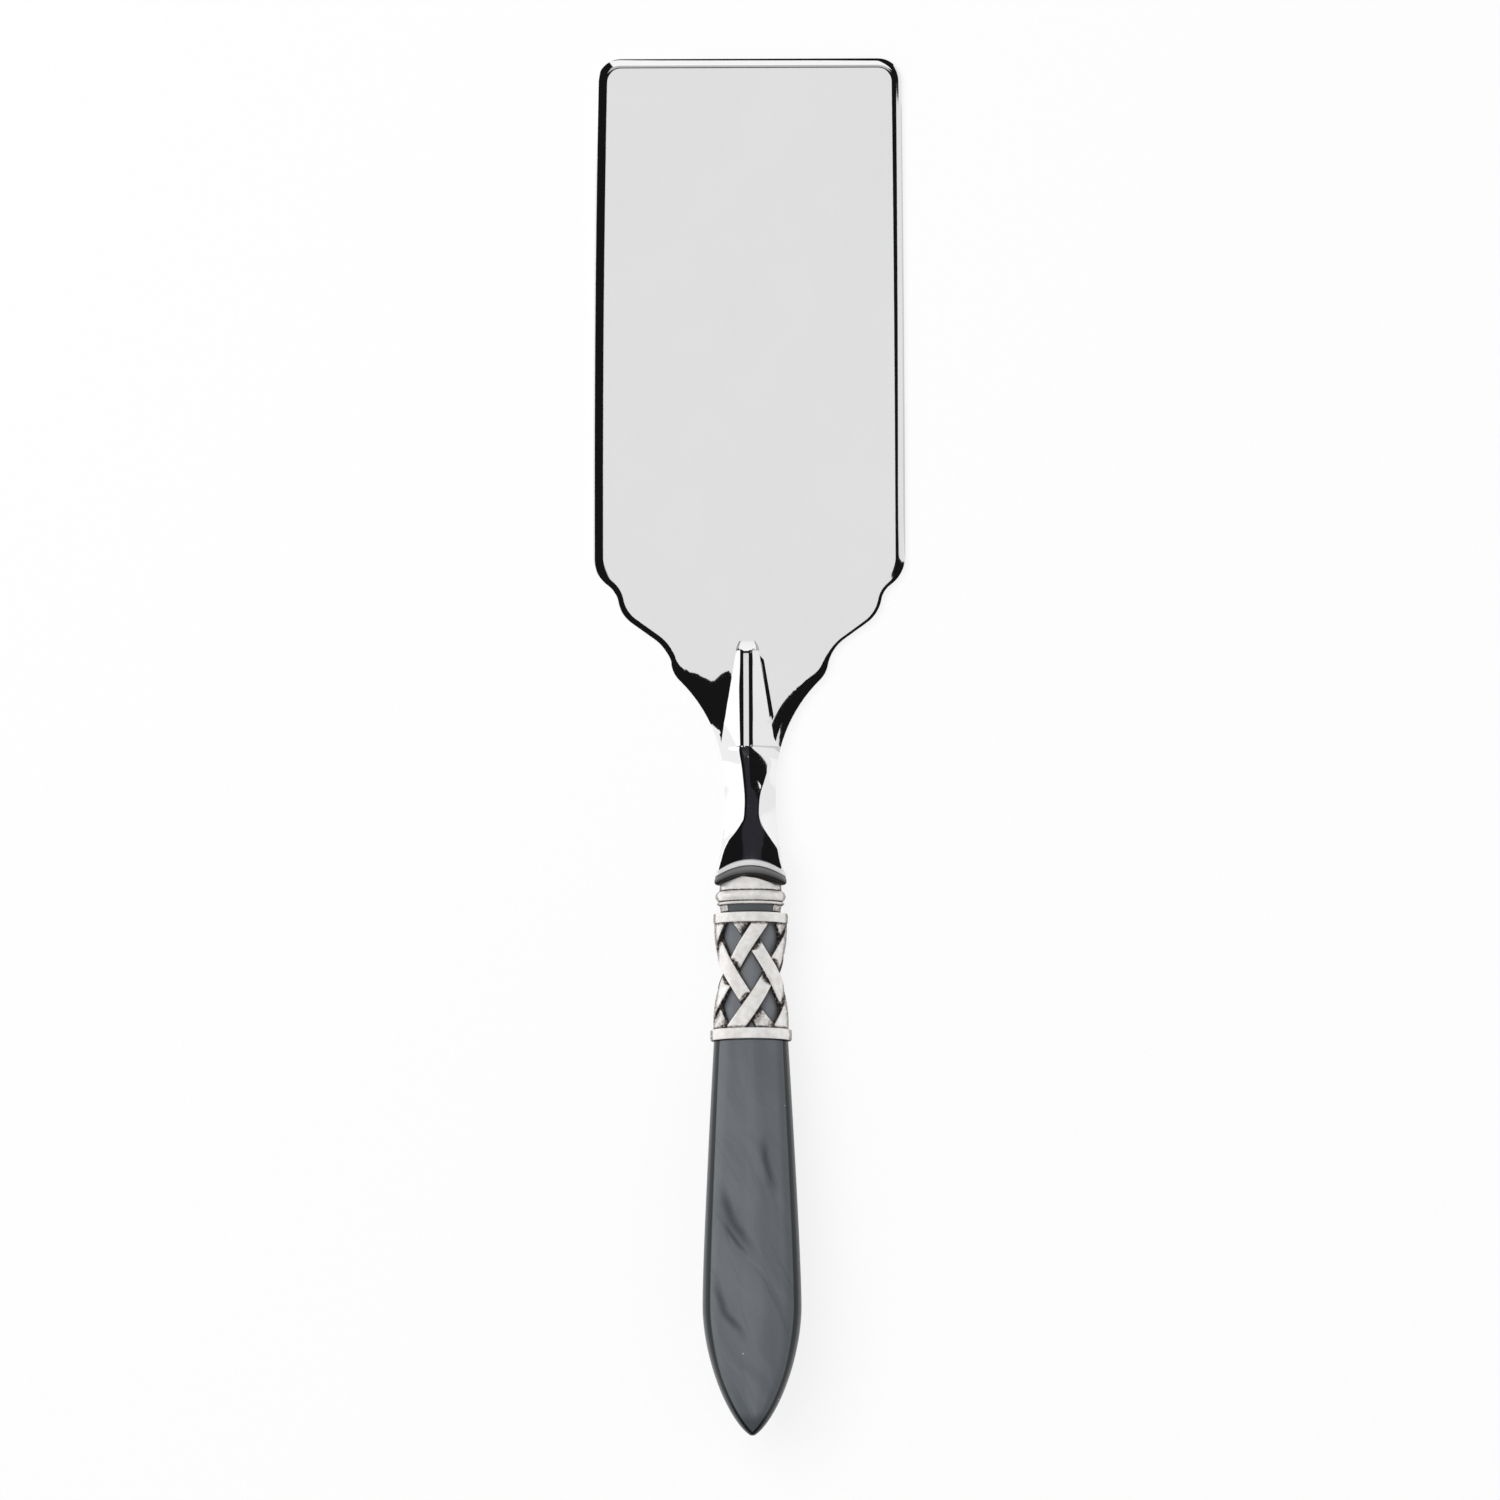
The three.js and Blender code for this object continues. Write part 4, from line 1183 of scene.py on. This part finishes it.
dots = sheet.node("TexVoronoi", {"Vector": place, "Scale": 0.28})[0]
specks = (1 - dots.step(0.03, 0.05)) * sheet.noise(place, 0.9, 0.0).step(0.52, 0.58)
tone = sheet.blend(clouds.step(0.3, 0.7), (0.112, 0.124, 0.136, 1), (0.142, 0.154, 0.168, 1))
tone = sheet.blend((1 - fine.step(0.25, 0.45)) * 0.35, tone, (0.07, 0.08, 0.09, 1))
tone = sheet.blend(veins * 0.75, tone, (0.045, 0.05, 0.056, 1))
# Painted light: the spigot, seen through the windows, is made lighter against the sleeve's shade.
spigot_painted_light = 1 - edge.step(-0.9, -0.1)
tone = sheet.blend(spigot_painted_light * 0.5, tone, (0.21, 0.22, 0.235, 1))
tip_share = 1 - y.step(-143.1, -140.5)
tone = sheet.blend(tip_share * 0.9, tone, (0.062, 0.07, 0.075, 1))
# Painted shade: a darker band along the right side of the handle.
right_side_shade = edge.step(0.6, 0.78) * x.step(0.5, 3.0)
tone = sheet.blend(right_side_shade * 0.6, tone, (0.06, 0.068, 0.085, 1))
# Painted shade: a near-black line just inside the outline, then a painted grey reflection band at the very
# edge.
tone = sheet.blend(edge.step(0.825, 0.86), tone, (0.009, 0.01, 0.011, 1))
tone = sheet.blend(edge.step(0.915, 0.955), tone, (0.042, 0.054, 0.057, 1))
sheet.finish({
    "Base Color": sheet.blend(specks, tone, (0.6, 0.62, 0.65, 1)),
    "Roughness": 0.3 + 0.12 * clouds,
    "Specular IOR Level": 0.3,
    "Coat Weight": 0.2,
    "Coat Roughness": 0.05,
})

# %% Hidden pieces: tang and glue
tang_steel, sheet, (x, y, z) = material("tang_steel_look")
mill = sheet.noise(sheet.vector(x * 4, y * 0.3, z * 4), 1.0, 3.0)
sheet.finish({
    "Base Color": sheet.blend(mill, (0.3, 0.31, 0.32, 1), (0.48, 0.49, 0.5, 1)),
    "Metallic": 1.0,
    "Roughness": 0.35 + 0.2 * mill,
})
glue, sheet, (x, y, z) = material("cured_glue_look")
clouds = sheet.noise(sheet.vector(x, y, z), 0.4, 4.0)
sheet.finish({
    "Base Color": sheet.blend(clouds, (0.6, 0.5, 0.28, 1), (0.78, 0.7, 0.47, 1)),
    "Roughness": 0.35 + 0.25 * clouds,
})

# %% Give each piece its finish and its place in the part
PIECES = [
    (blade, "blade", "polished_steel", steel),
    (neck, "neck", "polished_steel", steel),
    (cap, "ferrule_cap", "aged_silver", silver),
    (sleeve, "lattice_sleeve", "aged_silver", silver),
    (handle, "handle", "pearl_resin", resin),
]
for piece, node, slot, look in PIECES:
    piece.data.materials.clear()
    piece.data.materials.append(look)
    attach(piece, "root")
    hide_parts(node)
for node, look in (("tang", tang_steel), ("adhesive", glue)):
    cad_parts[node].data.materials.clear()
    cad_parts[node].data.materials.append(look)

# %% [markdown]
# ## The studio
#
# Polished steel shows its surroundings, so cards of light matter as much as the lamp. Some hang above the
# blade, beside it and in front of it, others stand on both sides, and one lies on the table. Between them
# the steel mirrors a dark room, which draws its edges. A small card gives the tip's edge a grey line, and a
# dim one gives the neck's stripe its blue. All are seen only in reflections. The lamp from the upper left
# gives the soft shadow.

# %% A white floor
FLOOR_SEEN = 0.8
FLOOR_REFLECTED = 0.35
FLOOR_SIZE = 6
FLOOR_LEVEL = -0.2 * MM

floor_look, sheet, (x, y, z) = material("floor_look")
paper = sheet.noise(sheet.vector(x, y, z), 0.5, 3.0)
colour = sheet.blend(paper, (0.94, 0.94, 0.94, 1), (0.96, 0.96, 0.96, 1))
matt = sheet.node("BsdfDiffuse", {"Color": colour})[0]
white = sheet.node("Emission", {"Strength": 1.0})[0]
path = sheet.node("LightPath")
seen = (path[0] * FLOOR_SEEN).over(path[3].over(path[7]) * FLOOR_REFLECTED)
mixed = sheet.node("MixShader", {0: seen, 1: matt, 2: white})[0]
sheet.node("OutputMaterial", {"Surface": mixed})
bpy.ops.mesh.primitive_plane_add(size=FLOOR_SIZE, location=(0, 0, FLOOR_LEVEL))
floor = bpy.context.object
floor.name = "floor"
floor.data.materials.append(floor_look)

# %% Reflection cards
CARD_HEIGHT = 0.5


def card(name, middle, across, along, light, blue=1):
    """A card given by its middle, its two half sides and its grey light, which can have more blue."""
    middle, across, along = Vector(middle), Vector(across), Vector(along)
    corners = [middle - across - along, middle + across - along]
    corners += [middle - across + along, middle + across + along]
    bpy.ops.mesh.primitive_plane_add(size=1)
    made = bpy.context.object
    made.name = name
    for vertex, corner in zip(made.data.vertices, corners):
        vertex.co = corner
    look = bpy.data.materials.new(name + "_look")
    glow = Sheet(look)
    colour = (light, light, light * blue, 1)
    glowing = glow.node("Emission", {"Color": colour, "Strength": 1.0})[0]
    glow.node("OutputMaterial", {"Surface": glowing})
    made.data.materials.append(look)
    for ray in ("camera", "diffuse", "shadow", "transmission"):
        setattr(made, "visible_" + ray, False)


card("card_above", (0.0025, -0.15, CARD_HEIGHT), (0.0525, 0, 0), (0, 0.345, 0), 0.8)
card("card_beside", (0.466, 0.1, CARD_HEIGHT), (0.205, 0, 0), (0.063, 0.055, 0), 0.8)
card("card_front", (-0.08, 0.59, CARD_HEIGHT), (0.18, 0, 0), (-0.15, 0.26, 0), 1)
card("card_right", (0.8, 0.075, 0.21), (0, 0.925, 0), (0, 0, 0.21), 0.86)
card("card_upper", (0.8, 0.58, 0.61), (0, 0.42, 0), (0, 0, 0.19), 0.86)
card("card_grey", (0.8, -0.345, 0.61), (0, 0.505, 0), (0, 0, 0.19), 0.62)
card("card_left", (-1, 0.48, 0.375), (0, 0.32, 0), (0, 0, 0.375), 1.1)
card("card_back", (-1, -0.17, 0.375), (0, 0.33, 0), (0, 0, 0.375), 0.93)
card("card_low", (-0.506, 0, 0.001), (0.494, 0, 0), (0, 0.9, 0), 1.1)
card("card_tip", (0, 0.18, 0.12), (0.06, 0, 0), (0, 0.014, 0), 0.5)
card("card_dim", (0.02, 0.2375, CARD_HEIGHT), (0.1, 0, 0), (0, 0.0375, 0), 0.024, 1.25)

# %% World and lamp
ROOM_LIGHT = 0.55
ROOM_REFLECTED = 0.008
LAMP_PLACE = (-0.6, 0.35, 1.6)
LAMP_SIZE = 1.2
LAMP_POWER = 16.5

world = bpy.data.worlds.new("studio")
bpy.context.scene.world = world
sheet = Sheet(world)
path = sheet.node("LightPath")
camera_ray, glossy_ray = path[0], path[3]
strength = camera_ray + (1 - camera_ray) * (ROOM_LIGHT + glossy_ray * (ROOM_REFLECTED - ROOM_LIGHT))
background = sheet.node("Background", {"Color": (1, 1, 1, 1), "Strength": strength})[0]
sheet.node("OutputWorld", {"Surface": background})

bpy.ops.object.light_add(type="AREA", location=LAMP_PLACE)
lamp = bpy.context.object
lamp.name = "key_lamp"
lamp.data.size = LAMP_SIZE
lamp.data.energy = LAMP_POWER
lamp.rotation_euler = (-lamp.location).to_track_quat("-Z", "Y").to_euler()
lamp.visible_glossy = False

# %% Camera straight above, as in the photo
PHOTO_WIDTH = 0.3183
PHOTO_MIDDLE = -0.74 * MM
PHOTO_TURN = math.radians(-0.21)
CAMERA_HEIGHT = 10.0
SENSOR = 36

place = (0, PHOTO_MIDDLE, CAMERA_HEIGHT)
bpy.ops.object.camera_add(location=place, rotation=(0, 0, PHOTO_TURN))
camera = bpy.context.object
camera.data.sensor_width = SENSOR
camera.data.lens = SENSOR * CAMERA_HEIGHT / PHOTO_WIDTH
camera.data.clip_end = 2 * CAMERA_HEIGHT
bpy.context.scene.camera = camera
bpy.context.scene.view_settings.view_transform = "Standard"
